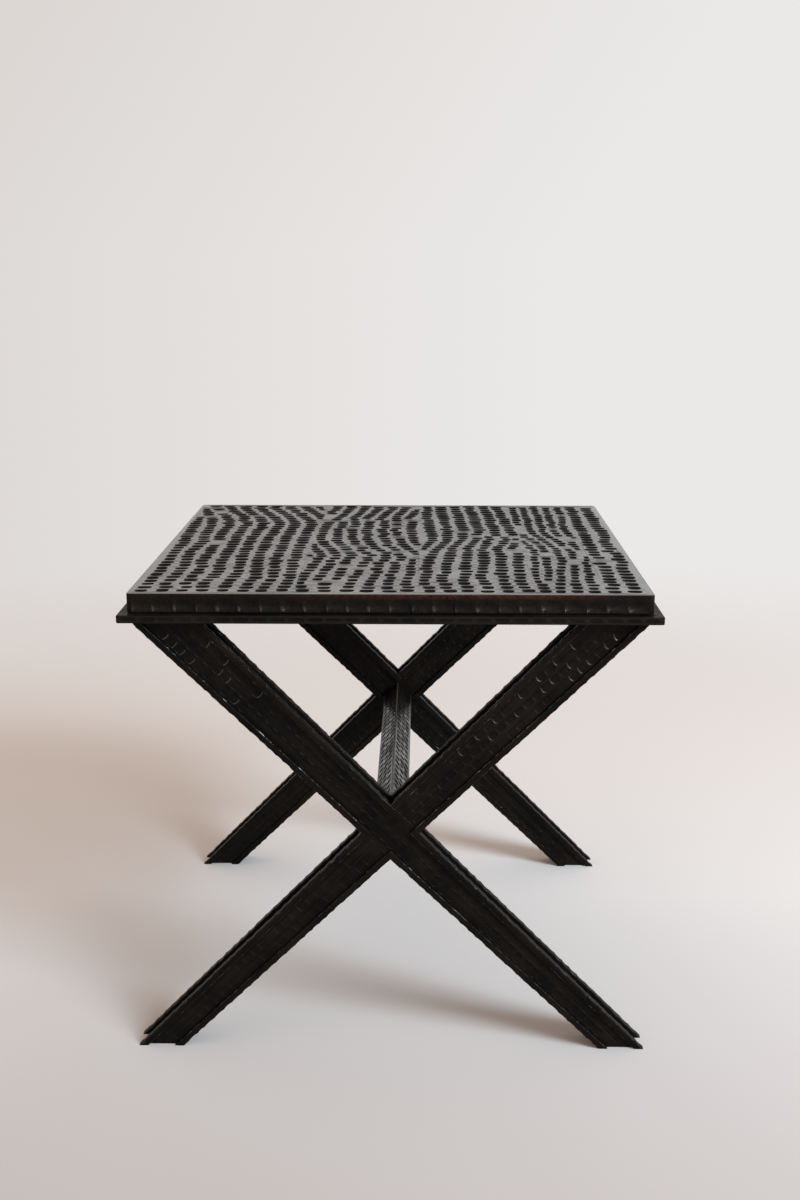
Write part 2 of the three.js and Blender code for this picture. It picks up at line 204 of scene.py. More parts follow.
key_data = bpy.data.lights.new("window", "AREA")
key_data.size = KEY_WIDTH
key_data.energy = KEY_POWER
key_data.color = KEY_COLOUR
key = bpy.data.objects.new("window", key_data)
key.location = KEY_PLACE
key.rotation_euler = (KEY_AIM - KEY_PLACE).to_track_quat("-Z", "Y").to_euler()
bpy.context.scene.collection.objects.link(key)
print("key light at", tuple(KEY_PLACE))

# %% [markdown]
# The floor in the photograph runs up into the wall with no line between them.
# A curved backdrop would do that too, but it would stand in the way when the table is seen from behind. A
# large disc is used, which turns clear towards its rim, so that it melts into the world's pale wall. Its
# paint is a little darker on the near side, where the window's light falls off in the photograph.

# %% Floor
FLOOR_RADIUS = 8
FLOOR_SIDES = 64
FLOOR_FADE = (0.8, 2.8)
FLOOR_NEAR = linear(202, 196, 194)
FLOOR_FAR = linear(245, 243, 242)
FLOOR_SHADE_SPAN = (-0.75, 0.15)

floor_mesh = bpy.data.meshes.new("floor")
bm = bmesh.new()
bmesh.ops.create_circle(bm, cap_ends=True, segments=FLOOR_SIDES, radius=FLOOR_RADIUS)
bm.to_mesh(floor_mesh)
bm.free()
floor = bpy.data.objects.new("floor", floor_mesh)
bpy.context.scene.collection.objects.link(floor)
floor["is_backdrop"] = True

paint = bpy.data.materials.new("pale_floor")
tree = empty_tree(paint)
place = add(tree, "TexCoord").outputs["Object"]
far = add(tree, "VectorMath", {0: place}, operation="LENGTH").outputs["Value"]
span = {"Value": far, "From Min": FLOOR_FADE[0], "From Max": FLOOR_FADE[1]}
fade = add(tree, "MapRange", span, interpolation_type="SMOOTHSTEP")
shaded = remap(tree, split(tree, place)["Y"], *FLOOR_SHADE_SPAN)
matt = add(tree, "BsdfDiffuse", {"Color": blend(tree, shaded, FLOOR_NEAR, FLOOR_FAR)})
clear = add(tree, "BsdfTransparent")
mixed = add(tree, "MixShader", {0: fade.outputs[0], 1: matt.outputs[0], 2: clear.outputs[0]})
add(tree, "OutputMaterial", {"Surface": mixed.outputs[0]})
floor_mesh.materials.append(paint)
print("floor disc of", FLOOR_RADIUS, "m radius")

# %% [markdown]
# The finish is a black stain rubbed into dark, open-grained wood, then waxed.
# A single black would look like plastic. Real stain sits darker in the pores, so the colour is mixed from
# long streaks that follow each piece's grain, broad blotches, and fine pores. The stain alone is dull and
# nearly black. The wax is a coat over it, and only where a rag reaches. Two marks on the mesh say where:
# "wax" is 1 on the flat lands and 0 inside a gouge cut, and the second is above 0 on the eased arrises of
# the legs and rail, where a broken pale grey line is painted on as their highlight. The worn front arris of
# the top is wide, so it is placed by coordinates. Each noise is written as the size of its lumps and its
# fineness, and each span as two limits and what they become.

# %% Wood finish
STAIN_DARK = linear(9, 8, 7)
STAIN_BROWN = linear(31, 25, 20)
WORN_RED = linear(64, 34, 24)
# Pale grey painted along the eased arrises of the legs and rail as a broken highlight line.
PAINTED_HIGHLIGHT_GREY = linear(120, 114, 106)
DRY_SPECULAR = 0.06
WAX_ROUGHNESS = 0.15
WAX_IOR = 1.8
STREAKS = ((180 * MM, 3.2 * MM, 3.2 * MM), 5.0)
PORES = ((14 * MM, 0.7 * MM, 0.7 * MM), 3.0)
BLOTCHES = (55 * MM, 4.0)
CHIPS = (7 * MM, 3.0)
RIPPLES = ((22 * MM, 7 * MM, 7 * MM), 2.0)
STAIN_BY_MOTTLE = (0.14, 0.42)
STAIN_BY_PORES = (0.54, 0.70, 0.0, 0.8)
HIGHLIGHT_BLUR = 0.14
RUBBED_BY_CHIPS = (0.34, 0.62, 0.15, 1.0)
WAX_BY_BLOTCHES = (0.3, 0.7, 1.0, 0.88)
WAX_BY_PORES = (0.5, 0.74, 1.0, 0.68)
ROUGHNESS_BY_MOTTLE = (0.1, 0.45, 0.38, 0.58)
RELIEF_SHARES = (0.35, -0.3, 0.6)
BUMP_HEIGHT = 0.3 * MM
BUMP_STRENGTH = 0.8
GRAIN_TO_BACK = (0, 0, math.radians(90))
NOISE_ROUGHNESS = 0.6


def noise_along(tree, coords, turn, size, detail):
    """Noise whose lumps have a size, in metres, along a grain that is turned from X by three angles."""
    size = (size, size, size) if isinstance(size, float) else size
    mapped = add(tree, "Mapping", {"Vector": coords, "Rotation": turn, "Scale": size}, vector_type="TEXTURE")
    sockets = {"Vector": mapped.outputs[0], "Scale": 1.0, "Detail": detail, "Roughness": NOISE_ROUGHNESS}
    return add(tree, "TexNoise", sockets).outputs["Fac"]


def stained_wood(name, turn, wear_and_highlight_colour, highlight_from=0.5, worn_place=None):
    """The black stain: its grain's turn, the colour of its worn wood and painted arris highlight, and how
    rarely that shows.
    """
    material = bpy.data.materials.new(name)
    tree = empty_tree(material)
    coords = add(tree, "TexCoord").outputs["Object"]
    kinds = (STREAKS, PORES, BLOTCHES, CHIPS, RIPPLES)
    streaks, pores, blotches, chips, ripples = (noise_along(tree, coords, turn, *kind) for kind in kinds)
    wax = add(tree, "Attribute", attribute_name="wax").outputs["Fac"]
    painted_highlight = add(tree, "Attribute", attribute_name="painted_highlight").outputs["Fac"]

    mottle = join(tree, "MULTIPLY", streaks, blotches)
    colour = blend(tree, remap(tree, mottle, *STAIN_BY_MOTTLE), STAIN_DARK, STAIN_BROWN)
    colour = blend(tree, remap(tree, pores, *STAIN_BY_PORES), colour, STAIN_DARK)
    # The pale colour on marked arrises is a painted highlight; on the top's front arris it is real worn wood.
    wear_and_highlight = join(tree, "MULTIPLY", painted_highlight, remap(tree, chips, highlight_from, highlight_from + HIGHLIGHT_BLUR))
    if worn_place:
        rubbed = join(tree, "MULTIPLY", worn_place(tree, coords), remap(tree, chips, *RUBBED_BY_CHIPS))
        wear_and_highlight = join(tree, "MAXIMUM", wear_and_highlight, rubbed)
    colour = blend(tree, wear_and_highlight, colour, wear_and_highlight_colour)

    thinner = [remap(tree, blotches, *WAX_BY_BLOTCHES), remap(tree, pores, *WAX_BY_PORES)]
    polish = join(tree, "MULTIPLY", wax, *thinner)
    dullness = remap(tree, mottle, *ROUGHNESS_BY_MOTTLE)

    layers = zip((streaks, pores, ripples), RELIEF_SHARES)
    height = join(tree, "ADD", *(join(tree, "MULTIPLY", layer, share) for layer, share in layers))
    sockets = {"Height": height, "Distance": BUMP_HEIGHT, "Strength": BUMP_STRENGTH}
    bump = add(tree, "Bump", sockets).outputs[0]
    sockets = {
        "Base Color": colour,
        "Roughness": dullness,
        "Specular IOR Level": DRY_SPECULAR,
        "Normal": bump,
        "Coat Weight": polish,
        "Coat Roughness": WAX_ROUGHNESS,
        "Coat IOR": WAX_IOR,
        "Coat Normal": bump,
    }
    shader = add(tree, "BsdfPrincipled", sockets)
    add(tree, "OutputMaterial", {"Surface": shader.outputs[0]})
    return material


print("finish: stain, pores and wax")

# %% [markdown]
# Every piece starts as a bmesh and ends as a named object, so the two ends of that road are helpers.
# A piece that keeps the imported model's form starts from a copy of its mesh, whose loose triangles are merged
# and whose flat faces are joined into one, so that each flat can be picked and carved. A piece ends with its
# sharp edges marked: flats stay flat, and the insides of the gouge cuts are shaded round. While a piece is
# made, its marks sit where they are easy to set: "cut" and "gloss" on points, and a third on the narrow faces
# of eased arrises, which gives them wax gloss and a painted grey highlight. At the end they go to the corners
# of the faces, so that no mark runs out over a wide flat.

# %% Start and finish a piece
MERGE_DISTANCE = 1e-6
FLAT_ANGLE = math.radians(0.5)
SHARP_ANGLE = math.radians(28)
STEEP_ANGLE = math.radians(85)
ALIGNED = 0.999
RIGHT, BACK, UP = Vector((1, 0, 0)), Vector((0, 1, 0)), Vector((0, 0, 1))


def new_bmesh():
    """An empty bmesh with the marks that are set while a piece is made."""
    bm = bmesh.new()
    bm.verts.layers.float.new("cut")
    bm.verts.layers.float.new("gloss")
    bm.faces.layers.float.new("rub_and_highlight")
    return bm


def copy_of_node(name):
    """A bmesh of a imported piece, merged, with one face for each of its flats."""
    bm = new_bmesh()
    bm.from_mesh(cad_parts[name].data)
    bmesh.ops.remove_doubles(bm, verts=bm.verts, dist=MERGE_DISTANCE)
    bmesh.ops.dissolve_limit(bm, angle_limit=FLAT_ANGLE, verts=bm.verts, edges=bm.edges)
    bm.faces.ensure_lookup_table()
    return bm


def each_once(parts):
    """The parts, each once, in an order that is the same at every run, which a set's is not."""
    return list(dict.fromkeys(parts))


def facing(bm, normal):
    """The flats that look along a direction."""
    return [face for face in bm.faces if face.normal.dot(normal) > ALIGNED]


def shade(bm):
    """Rounds the shading inside cuts and over soft edges, and keeps the flats crisp."""
    mark = bm.verts.layers.float["cut"]
    for face in bm.faces:
        face.smooth = True
    for edge in bm.edges:
        ends = [v[mark] for v in edge.verts]
        inside = min(ends) > 0 and edge.calc_face_angle(0) < STEEP_ANGLE
        rim = max(ends) == 0 and any(v[mark] > 0 for f in edge.link_faces for v in f.verts)
        edge.smooth = inside or not (rim or edge.calc_face_angle(0) > SHARP_ANGLE)


def hand_over_marks(bm):
    """Moves the marks to the corners: a marked arris face keeps its own, for gloss and painted highlight,
    others take their points'.
    """
    gloss, rub_and_highlight = bm.verts.layers.float["gloss"], bm.faces.layers.float["rub_and_highlight"]
    wax, painted_highlight = bm.loops.layers.float.new("wax"), bm.loops.layers.float.new("painted_highlight")
    for face in bm.faces:
        rubbed = face[rub_and_highlight]
        for corner in face.loops:
            corner[wax] = min(1, max(0, rubbed)) if rubbed else corner.vert[gloss]
            corner[painted_highlight] = max(0, rubbed)
    bm.verts.layers.float.remove(gloss)
    bm.verts.layers.float.remove(bm.verts.layers.float["cut"])
    bm.faces.layers.float.remove(rub_and_highlight)


def finish_piece(bm, name, material, node):
    """Turns a bmesh into the piece that stands for a node."""
    shade(bm)
    hand_over_marks(bm)
    mesh = bpy.data.meshes.new(name)
    bm.to_mesh(mesh)
    faces = len(bm.faces)
    open_edges = sum(1 for e in bm.edges if not e.is_manifold)
    bm.free()
    piece = bpy.data.objects.new(name, mesh)
    bpy.context.scene.collection.objects.link(piece)
    mesh.materials.append(material)
    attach(piece, "root")
    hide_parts(node)
    print(f"{name}: {faces} faces, {open_edges} open edges")
    return piece


# %% [markdown]
# The whole table is worked with one tool, a gouge, so one helper makes every cut.
# The cuts could be a bump in the material, but then the outline stays straight and the shadows inside the
# cuts are missing. They could be cut by a boolean, one by one, which is slow for a thousand of them. Here a
# flat face is taken out, a ring is laid for each cut, and the land between the rings and the old border is
# filled in one go. Each ring's own face is then inset three times, which makes the lip, the wall and the
# floor of the cut. The floor is moved towards the back, where the gouge was stopped by a steep cut.

# %% Gouge cuts
CUT_SIDES = 16
SIDE_FULLNESS = 0.75
FRONT_FULLNESS = 0.8
BACK_FULLNESS = 0.5
LIP = 0.3 * MM
LIP_SLOPE = 0.5
BACK_LIP_SHARE = 0.72
CUT_STEPS = ((1.0, 1.0, 0.0, 0.5), (0.94, 0.88, 0.75, 1.0), (0.84, 0.7, 1.0, 1.0))


class Cut:
    """One gouge cut in metres: its middle, half width, half length and depth, how it is turned, how far its
    floor lies towards its back, how much lower its front and back rims are, and how glossy these and the
    lip at its back are."""

    def __init__(self, place, halves, depth, turn, lean, drops=(0.0, 0.0), gloss=0.1, back_lip=0.0):
        self.u, self.v = place
        self.half_width, self.half_length = halves
        self.depth, self.turn, self.lean = depth, turn, lean
        self.drops, self.gloss, self.back_lip = drops, gloss, back_lip

    def on(self, place):
        """The cut's middle and its way towards the back, on the flat that a matrix places."""
        along = place.to_3x3() @ (Matrix.Rotation(self.turn, 3, "Z") @ BACK)
        return place @ Vector((self.u, self.v, 0)), along

    def outline(self, x, y, grown=0.0):
        """Takes a point of the unit circle to the cut's outline on its flat, which is fuller at the back."""
        side = math.copysign(abs(x) ** SIDE_FULLNESS, x)
        end = math.copysign(abs(y) ** (BACK_FULLNESS if y > 0 else FRONT_FULLNESS), y)
        point = Vector(((self.half_width + grown) * side, (self.half_length + grown) * end))
        return Vector((self.u, self.v)) + Matrix.Rotation(self.turn, 2) @ point


def lay_ring(bm, place, cut):
    """Lays the outline of a cut on the flat that a matrix places, and returns its face."""
    made = bmesh.ops.create_circle(bm, cap_ends=True, segments=CUT_SIDES, radius=1)
    for v in made["verts"]:
        v.co = place @ cut.outline(v.co.x, v.co.y).to_3d()
    return made["verts"][0].link_faces[0]


def carve(bm, face, place, cuts, land_gloss, lip=LIP, lip_slope=LIP_SLOPE):
    """Replaces a flat face by the same face with gouge cuts in it."""
    cut_mark, gloss_mark = bm.verts.layers.float["cut"], bm.verts.layers.float["gloss"]
    normal = face.normal.copy()
    border = list(face.edges)
    for v in face.verts:
        v[gloss_mark] = land_gloss
    bmesh.ops.delete(bm, geom=[face], context="FACES_ONLY")
    floors = [lay_ring(bm, place, cut) for cut in cuts]
    rings = [edge for floor_face in floors for edge in floor_face.edges]
    bmesh.ops.triangle_fill(bm, use_beauty=True, edges=border + rings, normal=normal)
    for floor_face, cut in zip(floors, cuts):
        if floor_face.normal.dot(normal) < 0:
            floor_face.normal_flip()
        middle, along = cut.on(place)
        for v in floor_face.verts:
            reach = (v.co - middle).dot(along) / cut.half_length
            v.co -= normal * cut.drops[0 if reach < 0 else 1] * abs(reach) ** 3
            v[gloss_mark] = land_gloss + (cut.gloss - land_gloss) * reach**2
    fall = -lip * lip_slope
    for share_across, share_along, depth, mark in CUT_STEPS:
        bmesh.ops.inset_individual(bm, faces=floors, thickness=lip, depth=fall, use_even_offset=True)
        for floor_face, cut in zip(floors, cuts):
            middle, along = cut.on(place)
            across = along.cross(normal)
            slide = along * cut.lean * cut.half_length / 4
            for v in floor_face.verts:
                offset = v.co - middle
                v[cut_mark] = mark
                v[gloss_mark] = 0.0
                if not depth and offset.dot(along) > BACK_LIP_SHARE * cut.half_length:
                    v[gloss_mark] = cut.back_lip
                if depth:
                    sideways = across * offset.dot(across) * share_across
                    lengthways = along * offset.dot(along) * share_along
                    v.co = middle + sideways + lengthways + slide - normal * depth * cut.depth


print("a cut has", CUT_SIDES, "sides")

# %% [markdown]
# The cuts of the top run in chains from front to back, twenty-eight of them side by side.
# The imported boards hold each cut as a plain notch, a ramp and a steep wall that meet in one deepest edge. So
# the layout needs no second description: a merged copy of the board is searched for those edges, and they
# are joined to chains, whose bends are then smoothed.

# %% Chains of the top
PACKED_CUT_DEPTH = 2.0 * MM
LEVEL_TOLERANCE = 0.05 * MM
NARROWEST_CUT = 6 * MM
SHORTEST_CUT = 8 * MM
CHAIN_STEP = (8 * MM, 36 * MM)
CHAIN_SIDESTEP = 9 * MM

top_boards = [name for name in sorted(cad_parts) if name.startswith("top_board")]
top_low = Vector(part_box(top_boards[0])[0])
top_high = Vector(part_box(top_boards[-1])[1])


def packed_notches(name):
    """The notches of a packed board: middle, width, length along the chain, and turn of each."""
    bm = copy_of_node(name)
    deepest = top_high.z - PACKED_CUT_DEPTH
    notches = []
    for edge in bm.edges:
        first, second = sorted((v.co for v in edge.verts), key=lambda co: co.x)
        if max(abs(first.z - deepest), abs(second.z - deepest)) > LEVEL_TOLERANCE:
            continue
        across = (second - first).normalized()
        along = Vector((-across.y, across.x, 0))
        middle = (first + second) / 2
        reach = [along.dot(v.co - middle) for face in edge.link_faces for v in face.verts]
        centre = middle + along * (max(reach) + min(reach)) / 2
        length = max(reach) - min(reach)
        if edge.calc_length() > NARROWEST_CUT and length > SHORTEST_CUT:
            notches.append((centre.x, centre.y, edge.calc_length(), length, math.atan2(across.y, across.x)))
    bm.free()
    return sorted(notches)


def chains_of(notches):
    """Joins notches to chains that run from front to back, and smooths their bends."""
    chains = []
    for notch in sorted(notches, key=lambda n: n[1]):
        x, y = notch[:2]
        near = [c for c in chains if CHAIN_STEP[0] < y - c[-1][1] < CHAIN_STEP[1]]
        near = [c for c in near if abs(x - c[-1][0]) < CHAIN_SIDESTEP]
        if near:
            min(near, key=lambda c: abs(x - c[-1][0])).append(notch)
        else:
            chains.append([notch])
    for chain in chains:
        for before, notch, after in zip(chain, chain[1:], chain[2:]):
            x, turn = [(before[i] + 2 * notch[i] + after[i]) / 4 for i in (0, 4)]
            chain[chain.index(notch)] = (x, *notch[1:4], turn)
    return chains


def along_chain(chain, y):
    """What a chain is at a depth, between its notches: x, y, width, pitch and turn."""
    first = last = chain[0]
    for first, last in zip(chain, chain[1:]):
        if y < last[1]:
            break
    share = min(max((y - first[1]) / max(last[1] - first[1], MM), 0), 1)
    return [a + (b - a) * share for a, b in zip(first, last)]


chains = {name: chains_of(packed_notches(name)) for name in top_boards}
print("chains and parts of chains on each board:", [len(found) for found in chains.values()])

# %% [markdown]
# The hand of the carver is added to the chains.
# The notches could be carved one for one, but they are as even as a machine's. So each chain is walked from
# front to back with cuts and ridges of uneven length instead. A slow noise sways it, and another says where
# the carver was careless. Towards the back the cuts are wider and the ridges between them narrower and
# duller, because there they merge in the photograph. The boards were glued up first, so a cut may run across
# a seam.

# %% Cuts of the top
CHAIN_START = 1.5 * MM
SWAY_LENGTH = 110 * MM
SWAY_SLICE = 4.7
SWAY = 3.0 * MM
CARELESS_LENGTH = 70 * MM
CARELESS_SLICE = 8.3
LEAST_CARELESS = 0.8 * MM
CARELESSNESS = 1.5 * MM
EDGE_LAND = 5.0 * MM
LAND_GAP = 0.6 * MM
TOP_CUT_DEPTH = 3.2 * MM
DEPTH_SHARES = (0.8, 1.05)
WIDTH_SHARES = (0.9, 1.18)
LENGTH_SHARES = (0.62, 0.86)
RIDGE_SHARES = (0.12, 0.36)
TURN_SPREAD = 0.06
LEANS = (0.2, 0.4)
FRONT_DROP_MM, BACK_DROP_MM = 0.2, 0.35
BACK_RIDGE_SHARE = 0.5
BACK_WIDENING = 0.14
RIDGE_GLOSS = (0.05, 0.25, 0.5, 1.0)
BACK_RIDGE_DULLING = 0.8


def clashes(cut, others, gap, turn=0.0):
    """Whether a cut comes closer than a gap to any other, when they are all turned about alike."""
    for other in others:
        across, along = Matrix.Rotation(-turn, 2) @ Vector((cut.u - other.u, cut.v - other.v))
        beside = abs(across) < cut.half_width + other.half_width + gap
        if beside and abs(along) < cut.half_length + other.half_length + gap:
            return True
    return False


def wander(x, y, length, at):
    """One slice of a slow noise over the top, between about -1 and 1."""
    return noise.noise(Vector((x / length, y / length, at))) * 2


def walk_chain(chain, draw, kept):
    """Adds the cuts of one chain to those that are kept already, where there is room."""
    reach = top_high.y - EDGE_LAND
    start = chain[0][1] - chain[0][3] / 2 + draw.uniform(-CHAIN_START, CHAIN_START)
    end = chain[-1][1] + chain[-1][3] / 2 + CHAIN_START
    while start < end:
        x, _, width, pitch, turn = along_chain(chain, start + chain[0][3] / 2)
        half_length = pitch / 2 * draw.uniform(*LENGTH_SHARES)
        half_width = width / 2 * draw.uniform(*WIDTH_SHARES)
        y = start + half_length
        backwards = (y + reach) / (2 * reach)
        half_width *= 1 + BACK_WIDENING * backwards
        careless = LEAST_CARELESS + CARELESSNESS * max(0, wander(x, y, CARELESS_LENGTH, CARELESS_SLICE))
        x += SWAY * wander(x, y, SWAY_LENGTH, SWAY_SLICE) + draw.gauss(0, careless)
        cut = Cut(
            (min(max(x, half_width - reach), reach - half_width), y),
            (half_width, half_length),
            TOP_CUT_DEPTH * draw.uniform(*DEPTH_SHARES),
            turn + draw.gauss(0, TURN_SPREAD),
            draw.uniform(*LEANS),
            (draw.uniform(0, FRONT_DROP_MM) * MM, draw.uniform(0, BACK_DROP_MM) * MM),
            draw.choice(RIDGE_GLOSS) * (1 - BACK_RIDGE_DULLING * backwards),
        )
        if abs(y) + half_length < reach and not clashes(cut, kept, LAND_GAP):
            kept.append(cut)
        narrowed = 1 - (1 - BACK_RIDGE_SHARE) * backwards
        start = y + half_length + pitch * narrowed * draw.uniform(*RIDGE_SHARES)


all_cuts = []
for name in top_boards:
    for number, chain in enumerate(chains[name]):
        walk_chain(chain, random.Random(f"{name} {number}"), all_cuts)
print("gouge cuts laid out on the top:", len(all_cuts))

# %% [markdown]
# Round its edge the top has one row of square scoops, with a thin upright ridge between each two.
# They could be carved like the cuts above, but they nearly touch each other and the board's arrises. So they
# are made another way: the board's outer side is sliced along the scoops' sides and along their top and
# bottom, and the slices between are pushed in by a formula that all boards share, also at a seam. Each scoop
# is steepest at its left, where a short line of light stands on the ridge.

# %% Scoops along the edge
SCOOP_PITCH = 24.6 * MM
SCOOP_WIDTH = 22.6 * MM
SCOOP_TOP = 6.5 * MM
SCOOP_HEIGHT = 12.5 * MM
SCOOP_DEPTH = 1.9 * MM
SCOOP_SHIFT_MM, SCOOP_RISE_MM = 0.6, 0.9
SCOOP_WIDTH_SHARES = (0.93, 1.0)
SCOOP_DEPTH_SHARES = (0.7, 1.05)
SCOOP_SIDE_SHARES = (-1.0, -0.95, -0.89, -0.65, -0.3, 0.1, 0.5, 0.8, 1.0)
SCOOP_HEIGHT_SHARES = (0.0, 0.06, 0.5, 0.8, 1.0)
LEFT_STEEPNESS, RIGHT_STEEPNESS = 4, 2.2
FOOT_SHARE, HEAD_SHARE = 0.05, 0.35
SCOOP_GLOSS = 0.04
SCOOP_MARK = 0.3
TICK_GLOSS = 0.85
TICK_HEIGHT_SHARE = 0.3
TICK_SIDE_SHARE = -0.9


class Scoop:
    """One scoop of one side of the top: its middle along the side, and its own small differences."""

    def __init__(self, side, index, count):
        draw = random.Random(f"scoop {side} {index}")
        shift = draw.uniform(-SCOOP_SHIFT_MM, SCOOP_SHIFT_MM) * MM
        self.middle = (index - (count - 1) / 2) * SCOOP_PITCH + shift
        self.half = SCOOP_WIDTH / 2 * draw.uniform(*SCOOP_WIDTH_SHARES)
        self.depth = SCOOP_DEPTH * draw.uniform(*SCOOP_DEPTH_SHARES)
        self.rise = draw.uniform(-SCOOP_RISE_MM, SCOOP_RISE_MM) * MM
        self.left = 1 if side in ("front", "right") else -1

    def across(self, along):
        """A place along the side as a share of the scoop, from -1 at its left to 1 at its right."""
        return self.left * (along - self.middle) / self.half

    def push(self, along, height):
        """How far a point of the side is pushed in, by its place along and its height share."""
        u = self.across(along)
        if abs(u) > 1 or not 0 < height < 1:
            return 0.0
        bowl = 1 - abs(u) ** (LEFT_STEEPNESS if u < 0 else RIGHT_STEEPNESS)
        foot = min(1, height / FOOT_SHARE)
        head = min(1, (1 - height) / HEAD_SHARE)
        return self.depth * bowl * foot * head


scoops_per_side = int((top_high.x - top_low.x) / SCOOP_PITCH)
scoops = {
    side: [Scoop(side, index, scoops_per_side) for index in range(scoops_per_side)]
    for side in ("front", "back", "left", "right")
}
INWARD = {"front": BACK, "back": -BACK, "left": RIGHT, "right": -RIGHT}


def slice_faces(bm, faces, points, normal):
    """Slices some faces by parallel planes through the points, and returns all the faces they became."""
    for point in points:
        edges = each_once(edge for face in faces for edge in face.edges)
        verts = each_once(vert for face in faces for vert in face.verts)
        plane = {"plane_co": point, "plane_no": normal}
        made = bmesh.ops.bisect_plane(bm, geom=[*faces, *edges, *verts], dist=MERGE_DISTANCE, **plane)
        faces = [part for part in made["geom"] if isinstance(part, bmesh.types.BMFace)]
    return faces


def scoop_side(bm, side):
    """Slices one outer side of a board and pushes its scoops in."""
    axis = 0 if side in ("front", "back") else 1
    faces = facing(bm, -INWARD[side])
    spans = [v.co[axis] for f in faces for v in f.verts]
    base = top_high.z - SCOOP_TOP - SCOOP_HEIGHT
    along = [s.middle + s.left * share * s.half for s in scoops[side] for share in SCOOP_SIDE_SHARES]
    along = [place for place in along if min(spans) < place < max(spans)]
    direction = (RIGHT, BACK)[axis]
    faces = slice_faces(bm, faces, [direction * place for place in along], direction)
    heights = [base + share * SCOOP_HEIGHT for share in SCOOP_HEIGHT_SHARES]
    faces = slice_faces(bm, faces, [UP * z for z in heights], UP)
    mark, gloss = bm.verts.layers.float["cut"], bm.verts.layers.float["gloss"]
    for v in each_once(vert for face in faces for vert in face.verts):
        height = (v.co.z - base) / SCOOP_HEIGHT
        for scoop in scoops[side]:
            depth = scoop.push(v.co[axis], height)
            if depth > 0:
                on_left = scoop.across(v.co[axis]) < TICK_SIDE_SHARE
                v[gloss] = TICK_GLOSS if on_left and height < TICK_HEIGHT_SHARE else SCOOP_GLOSS
                v[mark] = SCOOP_MARK
                v.co += INWARD[side] * depth + UP * scoop.rise


print("scoops on each side:", scoops_per_side)

# %% [markdown]
# A top board is a plain plank until its edges are eased and its faces are worked.
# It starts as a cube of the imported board's size, with some of its neighbours added at each seam. The outer
# corners are rounded and the outer arrises eased with a bevel. Then the outer sides get their scoops, and the
# top face its gouge cuts. Last it is sawn off at its seams and closed there, so that a cut on the seam is
# shared with the neighbour. Where a seam has opened in the photograph, its upper edge is drawn back.

# %% Top boards
CORNER_RADIUS = 5 * MM
CORNER_SEGMENTS = 4
ARRIS = 1.3 * MM
ARRIS_SEGMENTS = 2
OVERLAP = 24 * MM
PACKED_GAP = 0.3 * MM
SEAM_GAP = 0.04 * MM
CRACK_REACH = 9 * MM
CRACK_WANDER = 12 * MM
CRACK_EVENNESS = 0.6
CRACK_FULLNESS = 0.6
CRACKS = (
    (-262 * MM, -150 * MM, 1.1 * MM),
    (-240 * MM, 110 * MM, 0.35 * MM),
    (-165 * MM, -130 * MM, 0.9 * MM),
    (-225 * MM, 70 * MM, 0.55 * MM),
)
WORN_SPAN = (0 * MM, 195 * MM)
WORN_FADE = 70 * MM
WORN_LEFT_SHARE, WORN_RIGHT_SHARE = 0.12, 0.1


def worn_front(tree, coords):
    """1 on the top's front arris, most of all on the middle boards, and 0 elsewhere."""
    axes = split(tree, coords)
    forward = remap(tree, axes["Y"], top_low.y + ARRIS, top_low.y + 0.3 * ARRIS)
    high_up = remap(tree, axes["Z"], top_high.z - SCOOP_TOP, top_high.z - 2 * ARRIS)
    begins = remap(tree, axes["X"], WORN_SPAN[0] - 2 * WORN_FADE, WORN_SPAN[0], WORN_LEFT_SHARE, 1)
    ends = remap(tree, axes["X"], WORN_SPAN[1], WORN_SPAN[1] + WORN_FADE, 1, WORN_RIGHT_SHARE)
    return join(tree, "MULTIPLY", forward, high_up, begins, ends)


top_finish = stained_wood("black_stain_top", GRAIN_TO_BACK, WORN_RED, worn_place=worn_front)


def bevel(bm, edges, offset, segments, rubbed=0.0):
    """Eases some edges, and marks the new narrow faces for wax gloss and a painted grey highlight, or as dull
    with a negative mark.
    """
    made = bmesh.ops.bevel(
        bm, geom=edges, offset=offset, segments=segments, profile=0.5, affect="EDGES", material=-1
    )
    rub_and_highlight = bm.faces.layers.float["rub_and_highlight"]
    for face in made["faces"]:
        face[rub_and_highlight] = rubbed


def edges_where(bm, test):
    """The edges whose both ends pass a test."""
    return [edge for edge in bm.edges if all(test(v.co) for v in edge.verts)]


def plank(low, high):
    """A box between two corners, as a bmesh."""
    bm = new_bmesh()
    middle, size = (low + high) / 2, high - low
    bmesh.ops.create_cube(bm, size=1, matrix=Matrix.Translation(middle) @ Matrix.Diagonal((*size, 1)))
    return bm


def saw_off(bm, place, outward, crack):
    """Saws a plank off at a seam, closes it, and opens the crack that runs along the seam's upper edge."""
    geometry = [*bm.verts, *bm.edges, *bm.faces]
    point, way = RIGHT * place, RIGHT * outward
    made = bmesh.ops.bisect_plane(
        bm, geom=geometry, dist=MERGE_DISTANCE, plane_co=point, plane_no=way, clear_outer=True
    )
    rim = [part for part in made["geom_cut"] if isinstance(part, bmesh.types.BMEdge)]
    bmesh.ops.triangle_fill(bm, use_beauty=True, edges=rim, normal=way)
    front, back, width = crack
    mark = bm.verts.layers.float["cut"]
    for v in each_once(v for edge in rim for v in edge.verts):
        v[mark] = 0
        share = (v.co.y - front) / (back - front)
        if 0 < share < 1 and v.co.z > top_high.z - CRACK_REACH:
            unevenness = CRACK_EVENNESS + (1 - CRACK_EVENNESS) * wander(v.co.y, 0, CRACK_WANDER, place)
            v.co.x -= outward * width / 2 * math.sin(math.pi * share) ** CRACK_FULLNESS * unevenness


